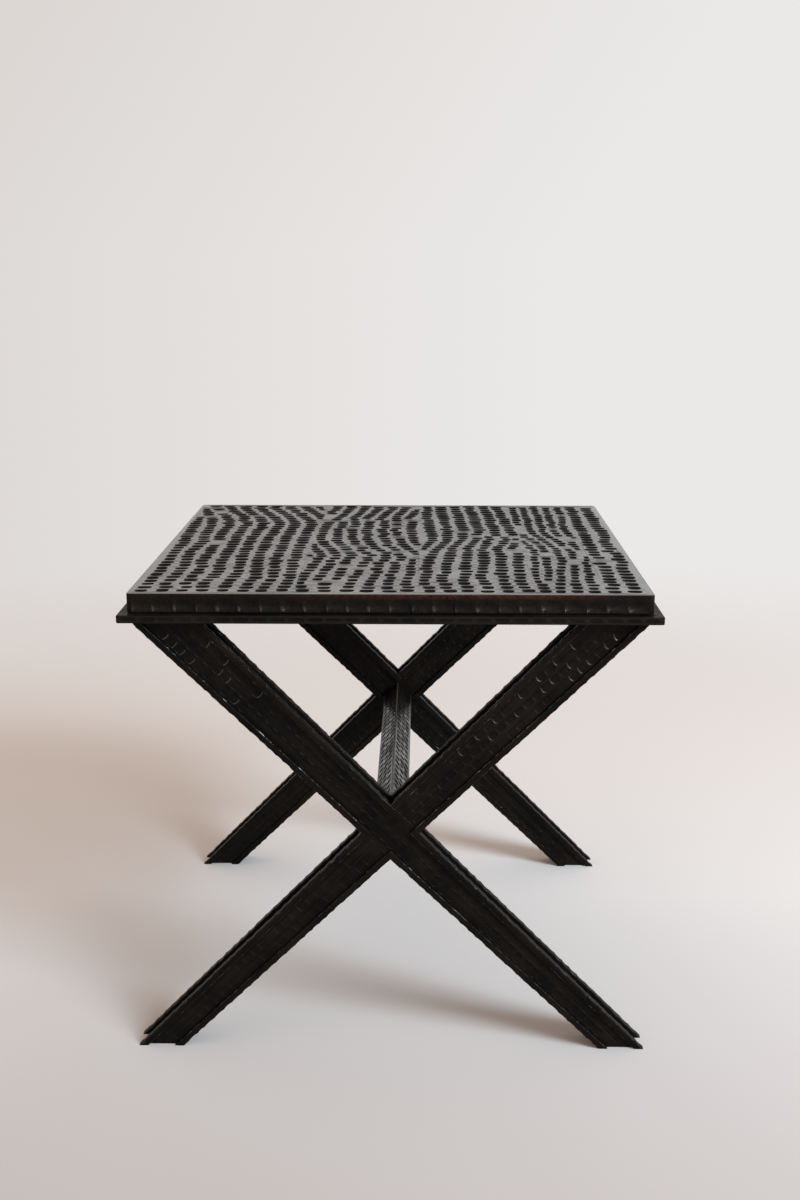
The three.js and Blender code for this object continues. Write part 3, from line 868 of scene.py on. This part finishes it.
def make_top_board(name):
    """Makes one board of the top, and returns the number of its cuts."""
    low, high = (Vector(corner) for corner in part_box(name))
    number = top_boards.index(name)
    seams = []
    if number > 0:
        seams.append((low.x - PACKED_GAP / 2 + SEAM_GAP / 2, -1, CRACKS[number - 1]))
        low.x -= OVERLAP
    if number < len(top_boards) - 1:
        seams.append((high.x + PACKED_GAP / 2 - SEAM_GAP / 2, 1, CRACKS[number]))
        high.x += OVERLAP
    bm = plank(low, high)
    near = lambda a, b: abs(a - b) < MERGE_DISTANCE
    outer = edges_where(bm, lambda co: near(abs(co.x), top_high.x))
    upright = [e for e in outer if near(e.verts[0].co.y, e.verts[1].co.y)]
    bevel(bm, upright, CORNER_RADIUS, CORNER_SEGMENTS)
    for z in (low.z, high.z):
        bevel(bm, edges_where(bm, lambda co: near(co.z, z)), ARRIS, ARRIS_SEGMENTS)
    sides = ["front", "back"] + ["left"] * (number == 0) + ["right"] * (number == len(top_boards) - 1)
    for side in sides:
        scoop_side(bm, side)
    top_face = max(facing(bm, UP), key=lambda f: f.calc_area())
    cuts = [cut for cut in all_cuts if low.x + EDGE_LAND / 2 < cut.u - cut.half_width]
    cuts = [cut for cut in cuts if cut.u + cut.half_width < high.x - EDGE_LAND / 2]
    carve(bm, top_face, Matrix.Translation((0, 0, high.z)), cuts, 1.0)
    for place, outward, crack in seams:
        saw_off(bm, place, outward, crack)
    finish_piece(bm, "carved_" + name, top_finish, name)
    return len(cuts)


counts = [make_top_board(name) for name in top_boards]
print("gouge cuts on each board, with some of its neighbours':", counts)

# %% [markdown]
# The under-board is thinner and stands out all round as a narrow ledge, faceted by the same gouge.
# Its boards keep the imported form, because the screw holes show from below. Its outer sides and the ledge's
# top are single flats there, so a row of wide, shallow cuts along each is enough.

# %% Under-boards
LEDGE_PITCH = 21 * MM
LEDGE_MARGIN = 0.9 * MM
LEDGE_CUT_DEPTH = 0.35 * MM
LEDGE_LENGTH_SHARES = (0.78, 0.92)
LEDGE_WIDTH_SHARES = (0.85, 1)
LEDGE_DEPTH_SHARES = (0.6, 1.1)
LEDGE_LEAN = 0.2
LEDGE_GLOSS = 0.08
LEDGE_REACH = top_high.x - 0.5 * MM
WIDEST_LEDGE_FLAT = 60e-4
NARROWEST_SIDE_FLAT = 1e-4
under_boards = [name for name in sorted(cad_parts) if name.startswith("under_board")]
under_finish = stained_wood("black_stain_under", (0, 0, 0), PAINTED_HIGHLIGHT_GREY)


def flat_place(origin, across_dir, along_dir):
    """The matrix of a flat from its origin and two directions in it."""
    normal = across_dir.cross(along_dir)
    return Matrix.Translation(origin) @ Matrix((across_dir, along_dir, normal)).transposed().to_4x4()


def row_along(face, along_dir, draw):
    """A single row of wide cuts along a narrow flat of the ledge."""
    across_dir = along_dir.cross(face.normal)
    place = flat_place(face.calc_center_median(), across_dir, along_dir)
    back = place.inverted()
    flat = [back @ v.co for v in face.verts]
    low_u, high_u = min(p.x for p in flat), max(p.x for p in flat)
    low_v, high_v = min(p.y for p in flat), max(p.y for p in flat)
    half_width = (high_u - low_u) / 2 - LEDGE_MARGIN
    count = max(1, int((high_v - low_v - 2 * LEDGE_MARGIN) / LEDGE_PITCH))
    step = (high_v - low_v - 2 * LEDGE_MARGIN) / count
    cuts = []
    for index in range(count):
        v = low_v + LEDGE_MARGIN + (index + 0.5) * step
        length = step / 2 * draw.uniform(*LEDGE_LENGTH_SHARES)
        width = half_width * draw.uniform(*LEDGE_WIDTH_SHARES)
        depth = LEDGE_CUT_DEPTH * draw.uniform(*LEDGE_DEPTH_SHARES)
        cuts.append(Cut(((low_u + high_u) / 2, v), (width, length), depth, 0, LEDGE_LEAN))
    return place, cuts


def way_along_ledge(face):
    """The direction in which a flat of the ledge is carved, or None for any other flat."""
    middle, area = face.calc_center_median(), face.calc_area()
    for along, out in ((0, 1), (1, 0)):
        above = face.normal.z > ALIGNED and abs(middle[along]) < LEDGE_REACH and area < WIDEST_LEDGE_FLAT
        beside = abs(face.normal[out]) > ALIGNED and area > NARROWEST_SIDE_FLAT
        if abs(middle[out]) > LEDGE_REACH and (above or beside):
            return (RIGHT, BACK)[along]
    return None


def make_under_board(name):
    """Makes one under-board, and returns the number of its carved flats."""
    draw = random.Random(name)
    bm = copy_of_node(name)
    for axis in (RIGHT, BACK):
        slice_faces(bm, facing(bm, UP), [axis * LEDGE_REACH, axis * -LEDGE_REACH], axis)
    targets = [(face, way_along_ledge(face)) for face in bm.faces]
    targets = [(face, along_dir) for face, along_dir in targets if along_dir is not None]
    for face, along_dir in targets:
        place, cuts = row_along(face, along_dir, draw)
        carve(bm, face, place, cuts, LEDGE_GLOSS)
    finish_piece(bm, "carved_" + name, under_finish, name)
    return len(targets)


print("ledge flats carved:", sum(make_under_board(name) for name in under_boards))

# %% [markdown]
# A leg is a tapered bar with a sunk panel in each face and a groove in each edge, which leaves four lips.
# Each lip was trimmed with the gouge in short bites, so its outline is a chain of shallow scallops. The
# packed leg has the bar, panels, grooves and lap. Here its long arrises are eased first. Each lip is then
# sliced across at the ends and the thirds of its bites, and its outer edge is drawn in between the ends.

# %% Lips of the legs
RIM = 8 * MM
LIP_THICKNESS = 9 * MM
PANEL = 4.5 * MM
LEG_ARRIS = 0.6 * MM
BITE_LENGTH = (11 * MM, 18 * MM)
BITE_DEPTH = (0.35 * MM, 1.05 * MM)
BITE_SHARES = (0.0, 0.22, 0.5, 0.78)
CROSSING_WINDOW = 36 * MM
RIM_WANDER = 0.35 * MM
END_MARGIN = 0.4 * MM
END_FADE = 5 * MM
BITE_FULLNESS = 0.8
PLACE_DIGITS = 5
LEAST_UP, LEAST_SLANT = 0.5, 0.3
crossing = sum((Vector(c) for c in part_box("cross_rail")), Vector()) / 2
print("the legs cross at a height of", round(crossing.z / MM, 1), "mm")


class LegSide:
    """One long side of a leg: the plane of its outer edge, and the direction from top to foot along it."""

    def __init__(self, bm, lean, sign):
        faces = [f for f in bm.faces if f.normal.z * sign > LEAST_UP]
        faces = [f for f in faces if f.normal.x * f.normal.z * lean > LEAST_SLANT]
        outer = max(faces, key=lambda f: f.normal.dot(f.verts[0].co))
        self.normal = outer.normal.copy()
        self.offset = self.normal.dot(outer.verts[0].co)
        self.along = Vector((lean * abs(self.normal.z), 0, -abs(self.normal.x)))

    def depth_of(self, co):
        """How far a point lies inside the leg, from the outer edge."""
        return self.offset - self.normal.dot(co)


def lip_faces(bm, side, near_y, far_y):
    """The faces that wrap one lip: its edge, its rim and the walls of its groove and panel."""
    low_y, high_y = min(near_y, far_y) - END_MARGIN, max(near_y, far_y) + END_MARGIN
    inside = lambda co: low_y < co.y < high_y and -END_MARGIN < side.depth_of(co) < RIM + END_MARGIN
    return [f for f in bm.faces if all(inside(v.co) for v in f.verts)]


def bites_along(low, high, draw):
    """The bites of one lip: start, length and depth, one after another."""
    bites = []
    start = low
    while start < high:
        length = draw.uniform(*BITE_LENGTH)
        bites.append((start, length, draw.uniform(*BITE_DEPTH)))
        start += length
    return bites


def bite_lip(bm, side, near_y, far_y, draw):
    """Slices one lip into its bites and draws its outline in."""
    centre = side.along.dot(crossing)
    faces = lip_faces(bm, side, near_y, far_y)
    spans = [side.along.dot(v.co) for f in faces for v in f.verts]
    bites = bites_along(min(spans), max(spans), draw)
    places = [start + share * length for start, length, _ in bites for share in BITE_SHARES]
    places = [place for place in places if abs(place - centre) > CROSSING_WINDOW]
    faces = slice_faces(bm, faces, [side.along * place for place in places], side.along)
    points = each_once(vert for face in faces for vert in face.verts)
    for v in sorted(points, key=lambda v: v.co.to_tuple(PLACE_DIGITS)):
        place = side.along.dot(v.co)
        if abs(place - centre) < CROSSING_WINDOW:
            continue
        fade = max(0, min(1, v.co.z / END_FADE, (leg_top - v.co.z) / END_FADE))
        inner = side.depth_of(v.co)
        start, length, depth = max((b for b in bites if b[0] <= place + MERGE_DISTANCE), key=lambda b: b[0])
        share = min(max((place - start) / length, 0), 1)
        if inner < LEG_ARRIS * 2:
            v.co -= side.normal * fade * depth * math.sin(math.pi * share) ** BITE_FULLNESS
        elif abs(inner - RIM) < LEG_ARRIS * 2 and abs(v.co.y - near_y) < PANEL / 2:
            v.co -= side.normal * fade * draw.uniform(-RIM_WANDER, RIM_WANDER)


leg_names = [name for name in sorted(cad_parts) if "_leg_foot_" in name]
leg_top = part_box(leg_names[0])[1].z
print("legs:", leg_names)

# %% [markdown]
# The sunk panels are filled with rows of small scoops, two or three side by side.
# High up, the lower lips of some catch the light as short bright dashes. They are the same gouge cuts as on
# the top, laid along the leg's own direction. A cut is kept only where its whole outline lies on the flat,
# clear of the panel's walls, so one layout fits the wide panel at the top and the narrow one at the foot.

# %% Layout of the leg panels
PANEL_CLEARANCE = 0.7 * MM
PANEL_ROW_PITCH = 14 * MM
PANEL_CUT_LENGTH = 12.4 * MM
PANEL_CUT_WIDTH = 11 * MM
PANEL_CUT_DEPTH = 0.75 * MM
PANEL_COLUMN_GAP = 2.4 * MM
PANEL_LAND = 1.0 * MM
PANEL_CUT_GAP = 0.3 * MM
PANEL_STAGGER = 0.3
PANEL_JITTER = (0.4 * MM, 0.5 * MM)
PANEL_WIDTH_SHARES = (0.86, 1.0)
PANEL_LENGTH_SHARES = (0.86, 1.04)
PANEL_DEPTH_SHARES = (0.5, 1.3)
PANEL_TURN_SPREAD = 0.08
PANEL_LEANS = (-0.1, 0.4)
PANEL_DROP_MM = 0.25
PANEL_GLOSS = 0.015
GLOSSY_SPREAD = 20 * MM
GLOSSY_SHARE = 0.5
DASH_GLOSS = (0.6, 1.0)


def inside_outline(point, outline):
    """Whether a flat point lies inside a closed outline."""
    inside = False
    previous = outline[-1]
    for corner in outline:
        if (corner.y > point.y) != (previous.y > point.y):
            cross_x = (previous.x - corner.x) * (point.y - corner.y) / (previous.y - corner.y) + corner.x
            if point.x < cross_x:
                inside = not inside
        previous = corner
    return inside


def fits(cut, outline, clearance):
    """Whether the whole of a cut lies inside an outline, with a clearance."""
    angles = [step / CUT_SIDES * 2 * math.pi for step in range(CUT_SIDES)]
    return all(inside_outline(cut.outline(math.cos(a), math.sin(a), clearance), outline) for a in angles)


def rim_limits(place, v, over, under):
    """How far the flat between the two rims of a panel reaches to its sides, at one height of the panel."""
    middle = place @ Vector((0, v, 0))
    across_dir = place.to_3x3() @ RIGHT
    to_over = (over.depth_of(middle) - RIM) / abs(over.normal.dot(across_dir))
    to_under = (under.depth_of(middle) - RIM) / abs(under.normal.dot(across_dir))
    sign = math.copysign(1, over.normal.dot(across_dir))
    return middle.z, *sorted((sign * to_over, -sign * to_under))


def panel_cuts(face, place, over, under, draw, glossy_height):
    """Rows of scoops over one panel, between the two rims."""
    back = place.inverted()
    outline = [(back @ v.co).to_2d() for v in face.verts]
    low, high = min(p.y for p in outline), max(p.y for p in outline)
    rows = round((high - low) / PANEL_ROW_PITCH)
    cuts = []
    for row in range(rows):
        v = low + (row + 0.5) * (high - low) / rows
        height, left, right = rim_limits(place, v, over, under)
        columns = max(2, round((right - left) / (PANEL_CUT_WIDTH + PANEL_COLUMN_GAP)))
        step = (right - left) / columns
        for column in range(columns):
            u = left + (column + 0.5) * step
            stagger = (column % 2 - 0.5) * PANEL_STAGGER * PANEL_ROW_PITCH
            high_up = height > glossy_height + draw.gauss(0, GLOSSY_SPREAD)
            glossy = high_up and draw.random() < GLOSSY_SHARE
            middle = (u + draw.gauss(0, PANEL_JITTER[0]), v + stagger + draw.gauss(0, PANEL_JITTER[1]))
            half_width = (step - PANEL_LAND) / 2 * draw.uniform(*PANEL_WIDTH_SHARES)
            half_length = PANEL_CUT_LENGTH / 2 * draw.uniform(*PANEL_LENGTH_SHARES)
            cut = Cut(
                middle,
                (half_width, half_length),
                PANEL_CUT_DEPTH * draw.uniform(*PANEL_DEPTH_SHARES),
                draw.gauss(0, PANEL_TURN_SPREAD),
                draw.uniform(*PANEL_LEANS),
                (draw.uniform(0, PANEL_DROP_MM) * MM, draw.uniform(0, PANEL_DROP_MM) * MM),
                PANEL_GLOSS,
                draw.uniform(*DASH_GLOSS) if glossy else 0.0,
            )
            if fits(cut, outline, PANEL_CLEARANCE) and not clashes(cut, cuts, PANEL_CUT_GAP):
                cuts.append(cut)
    return cuts


print("rows of scoops lie", round(PANEL_ROW_PITCH / MM), "mm apart")

# %% [markdown]
# Each leg now gets its eased arrises, its bitten lips and its carved panels, in this order.
# The long arrises are picked by their direction and their place on a lip. Each narrow face of them gets its
# own mark, which sets its wax gloss and a broken line of painted grey highlight; the rear frame stands in
# shade, so its marks and painted highlights are the weakest. The lips of the panel cuts are wider and steeper
# than on the top, because there the window is mirrored in them.

# %% Legs
PANEL_CUT_LIP = 0.7 * MM
PANEL_LIP_SLOPE = 0.73
SMALLEST_PANEL = 20e-4
STRICTLY_ALIGNED = 0.9999
SHARP_BEND = 1.0
LEG_GRAIN = math.radians(45)
# Marks for the arris faces, setting wax gloss and painted grey highlight; weaker on the rear frame, which is
# in shade.
FRONT_RUBS_AND_HIGHLIGHTS = (0.04, 0.12, 0.25, 0.5)
REAR_RUBS_AND_HIGHLIGHTS = (0.01, 0.03, 0.07, 0.18)
LEG_HIGHLIGHT_FROM = 0.52
GLOSSY_HEIGHTS = {"front_leg_foot_left": 0.37, "front_leg_foot_right": 0.45}


def runs_along(edge, direction, least):
    """Whether an edge runs along a direction, either way."""
    return abs((edge.verts[1].co - edge.verts[0].co).normalized().dot(direction)) > least


def rub_and_highlight_unevenly(bm, draw, marks):
    """Gives each marked face one of a few marks, so that its wax gloss and painted highlight show only here
    and there.
    """
    rub_and_highlight = bm.faces.layers.float["rub_and_highlight"]
    for face in bm.faces:
        if face[rub_and_highlight] > 0:
            face[rub_and_highlight] = draw.choice(marks)


def long_arrises(bm, side, near_y, far_y):
    """The long outer edges of one lip."""
    middle_y, reach = (near_y + far_y) / 2, LIP_THICKNESS / 2 + END_MARGIN
    on_lip = lambda co: abs(co.y - middle_y) < reach and side.depth_of(co) < RIM + END_MARGIN
    edges = [e for e in edges_where(bm, on_lip) if runs_along(e, side.along, STRICTLY_ALIGNED)]
    return [e for e in edges if e.calc_face_angle_signed(0) > SHARP_BEND]


def make_leg(name):
    """Makes one leg, and returns the number of scoops in its panels."""
    draw = random.Random(name)
    low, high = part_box(name)
    lean = 1 if name.endswith("right") else -1
    bm = copy_of_node(name)
    over, under = LegSide(bm, lean, 1), LegSide(bm, lean, -1)
    faces_y = ((low.y, low.y + LIP_THICKNESS), (high.y, high.y - LIP_THICKNESS))
    lips = [(side, *ys) for side in (over, under) for ys in faces_y]
    arrises = each_once(edge for lip in lips for edge in long_arrises(bm, *lip))
    bevel(bm, arrises, LEG_ARRIS, ARRIS_SEGMENTS, 1.0)
    for side in (over, under):
        outer = [f for f in facing(bm, side.normal) if side.depth_of(f.verts[0].co) < END_MARGIN]
        centre = side.along.dot(crossing)
        ends = [side.along * (centre + CROSSING_WINDOW), side.along * (centre - CROSSING_WINDOW)]
        slice_faces(bm, outer, ends, side.along)
        for near_y, far_y in faces_y:
            bite_lip(bm, side, near_y, far_y, draw)
    # Rear legs get the weaker marks, so their painted highlights read as lying in shade.
    rub_and_highlight_unevenly(bm, draw, REAR_RUBS_AND_HIGHLIGHTS if name.startswith("rear") else FRONT_RUBS_AND_HIGHLIGHTS)
    glossy_height = GLOSSY_HEIGHTS.get(name, leg_top)
    along = (over.along + under.along).normalized()
    count = 0
    for near_y, normal in ((low.y + PANEL, -BACK), (high.y - PANEL, BACK)):
        panels = [f for f in facing(bm, normal) if abs(f.verts[0].co.y - near_y) < END_MARGIN]
        for face in [f for f in panels if f.calc_area() > SMALLEST_PANEL]:
            place = flat_place(Vector((0, near_y, crossing.z)), along.cross(normal), along)
            cuts = panel_cuts(face, place, over, under, draw, glossy_height)
            carve(bm, face, place, cuts, PANEL_GLOSS, PANEL_CUT_LIP, PANEL_LIP_SLOPE)
            count += len(cuts)
    finish = stained_wood("black_stain_" + name, (0, LEG_GRAIN * lean, 0), PAINTED_HIGHLIGHT_GREY, LEG_HIGHLIGHT_FROM)
    finish_piece(bm, "carved_" + name, finish, name)
    return count


print("scoops in the leg panels:", sum(make_leg(name) for name in leg_names))

# %% [markdown]
# The rail is a square bar set with one corner up, so two of its four faces slope down from a bright ridge.
# Long strokes lie side by side on each slope, slanting away from the ridge like the bones of a fish. Seen
# along the bar they look four times shorter than they are, so they are laid nearly along the bar. The packed
# bar gives the four faces and the tenons. Its corners are eased, with wax gloss and a broken line of painted
# grey highlight on them, which brightens the ridge; then each face is carved like a small plank.

# %% Rail
RAIL_ARRIS = 1.0 * MM
CHIP_PITCH = 18 * MM
CHIP_LENGTH = 15 * MM
CHIP_WIDTH = 3.8 * MM
CHIP_DEPTH = 2.0 * MM
CHIP_SLANT = 0.42
CHIP_LIP = 0.2 * MM
CHIP_COLUMNS = 3
CHIP_GAP = 0.4 * MM
CHIP_JITTER = (0.2 * MM, 0.9 * MM)
CHIP_WIDTH_SHARES = (0.88, 1.1)
CHIP_LENGTH_SHARES = (0.8, 1.05)
CHIP_DEPTH_SHARES = (0.75, 1.15)
CHIP_TURN_SPREAD = 0.03
CHIP_LEANS = (-0.1, 0.3)
CHIP_DROPS = (0.1 * MM, 0.3 * MM)
CHIP_GLOSS = (0.05, 0.3, 1.0)
RAIL_MARGIN = 2.2 * MM
CHIP_CLEARANCE = 0.1 * MM
# The rail's eased corners get wax gloss and a broken line of painted grey highlight along the ridge.
RAIL_GLOSS = 0.27
RAIL_RUB_AND_HIGHLIGHT = 0.8
RAIL_HIGHLIGHT_FROM = 0.3
SMALLEST_RAIL_SIDE = 100e-4


def rail_sides(bm):
    """The four long sides of the bar."""
    return [f for f in bm.faces if abs(f.normal.y) < 0.01 and f.calc_area() > SMALLEST_RAIL_SIDE]


def make_rail(name):
    """Makes the rail, and returns the number of its strokes."""
    draw = random.Random(name)
    bm = copy_of_node(name)
    edges = each_once(edge for face in rail_sides(bm) for edge in face.edges)
    bevel(bm, [e for e in edges if runs_along(e, BACK, ALIGNED)], RAIL_ARRIS, ARRIS_SEGMENTS, RAIL_RUB_AND_HIGHLIGHT)
    count = 0
    for face in rail_sides(bm):
        normal = face.normal.copy()
        place = flat_place(face.calc_center_median(), BACK.cross(normal), BACK)
        outline = [(place.inverted() @ v.co).to_2d() for v in face.verts]
        half = max(p.x for p in outline)
        length = max(p.y for p in outline)
        rows = int(2 * length / CHIP_PITCH)
        step = 2 * (half - RAIL_MARGIN) / CHIP_COLUMNS
        slant = math.copysign(CHIP_SLANT, normal.x)
        cuts = []
        for row in range(rows):
            for column in range(CHIP_COLUMNS):
                u = (column + 0.5 - CHIP_COLUMNS / 2) * step + draw.gauss(0, CHIP_JITTER[0])
                v = -length + (row + 0.5) * CHIP_PITCH + draw.gauss(0, CHIP_JITTER[1])
                half_width = CHIP_WIDTH / 2 * draw.uniform(*CHIP_WIDTH_SHARES)
                half_length = CHIP_LENGTH / 2 * draw.uniform(*CHIP_LENGTH_SHARES)
                cut = Cut(
                    (u, v),
                    (half_width, half_length),
                    CHIP_DEPTH * draw.uniform(*CHIP_DEPTH_SHARES),
                    slant + draw.gauss(0, CHIP_TURN_SPREAD),
                    draw.uniform(*CHIP_LEANS),
                    CHIP_DROPS,
                    draw.choice(CHIP_GLOSS),
                )
                if fits(cut, outline, CHIP_CLEARANCE) and not clashes(cut, cuts, CHIP_GAP, slant):
                    cuts.append(cut)
        carve(bm, face, place, cuts, RAIL_GLOSS, CHIP_LIP)
        count += len(cuts)
    rail_finish = stained_wood("black_stain_rail", GRAIN_TO_BACK, PAINTED_HIGHLIGHT_GREY, RAIL_HIGHLIGHT_FROM)
    finish_piece(bm, "carved_" + name, rail_finish, name)
    return count


print("chips in the rail:", make_rail("cross_rail"))

# %% [markdown]
# The screws show only from below, where their heads sit in the under-board.
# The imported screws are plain. Each is made again as a head and shank turned round one axis, with a slot
# pressed into the head between two slices, and finished in dull steel with fine turning marks.

# %% Screws
SLOT_HALF = 0.55 * MM
SLOT_DEPTH = 0.9 * MM
SCREW_SIDES = 24
HEAD_DROP = 2.1 * MM
POINT_LENGTH = 5 * MM
STEEL_BRIGHT = linear(150, 146, 138)
STEEL_TARNISHED = linear(96, 90, 82)
TURNING_MARKS = ((0.4 * MM, 6 * MM, 6 * MM), 3.0)
TARNISH = (2.5 * MM, 4.0)
TARNISH_SPAN = (0.35, 0.65)
STEEL_ROUGHNESS = (0.3, 0.7, 0.28, 0.5)
TURNING_HEIGHT = 0.05 * MM


def dull_steel():
    """Bare steel with fine turning marks and a patchy tarnish."""
    material = bpy.data.materials.new("dull_steel")
    tree = empty_tree(material)
    coords = add(tree, "TexCoord").outputs["Object"]
    turning = noise_along(tree, coords, (0, 0, 0), *TURNING_MARKS)
    tarnish = noise_along(tree, coords, (0, 0, 0), *TARNISH)
    colour = blend(tree, remap(tree, tarnish, *TARNISH_SPAN), STEEL_BRIGHT, STEEL_TARNISHED)
    dullness = remap(tree, turning, *STEEL_ROUGHNESS)
    bump = add(tree, "Bump", {"Height": turning, "Distance": TURNING_HEIGHT, "Strength": 0.5})
    sockets = {"Base Color": colour, "Roughness": dullness, "Metallic": 1.0, "Normal": bump.outputs[0]}
    shader = add(tree, "BsdfPrincipled", sockets)
    add(tree, "OutputMaterial", {"Surface": shader.outputs[0]})
    return material


steel = dull_steel()


def make_screw(name):
    """A slotted screw in the box of a packed one, with its head at the end where that one is wide."""
    low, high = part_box(name)
    points_up = name.startswith("top_screw")
    head_z, tip_z = (low.z, high.z) if points_up else (high.z, low.z)
    way = 1 if tip_z > head_z else -1
    head, shank = (high.x - low.x) / 2, (high.x - low.x) / 4
    axis = Vector(((low.x + high.x) / 2, (low.y + high.y) / 2, 0))
    bm = new_bmesh()
    profile = [(0, head_z), (head, head_z), (shank, head_z + way * HEAD_DROP)]
    profile += [(shank, tip_z - way * POINT_LENGTH), (0, tip_z)]
    verts = [bm.verts.new(axis + Vector((radius, 0, z))) for radius, z in profile]
    edges = [bm.edges.new(pair) for pair in zip(verts, verts[1:])]
    bmesh.ops.spin(
        bm, geom=verts + edges, cent=axis, axis=UP, angle=2 * math.pi, steps=SCREW_SIDES, use_merge=True
    )
    bmesh.ops.remove_doubles(bm, verts=bm.verts, dist=MERGE_DISTANCE)
    bmesh.ops.recalc_face_normals(bm, faces=bm.faces)
    bmesh.ops.dissolve_faces(bm, faces=facing(bm, UP * -way))
    slot_way = Matrix.Rotation(random.Random(name).uniform(0, math.pi), 3, "Z") @ RIGHT
    sides = [axis + slot_way * SLOT_HALF, axis - slot_way * SLOT_HALF]
    strips = slice_faces(bm, facing(bm, UP * -way), sides, slot_way)
    slot = min(strips, key=lambda f: abs(slot_way.dot(f.calc_center_median() - axis)))
    bmesh.ops.inset_region(bm, faces=[slot], thickness=0, depth=0, use_boundary=True)
    for v in slot.verts:
        v.co.z += way * SLOT_DEPTH
    finish_piece(bm, "slotted_" + name, steel, name)


screws = [name for name in sorted(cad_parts) if "screw" in name]
for name in screws:
    make_screw(name)
print("screws:", len(screws))

# %% [markdown]
# The dressed table must not outgrow the imported one, so the difference between their two boxes is printed.

# %% Compare the sizes
visual_low, visual_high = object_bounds()
growth = [*(visual_low - cad_low), *(visual_high - cad_high)]
print("visual box minus packed box, in mm:", [round(change / MM, 2) for change in growth])
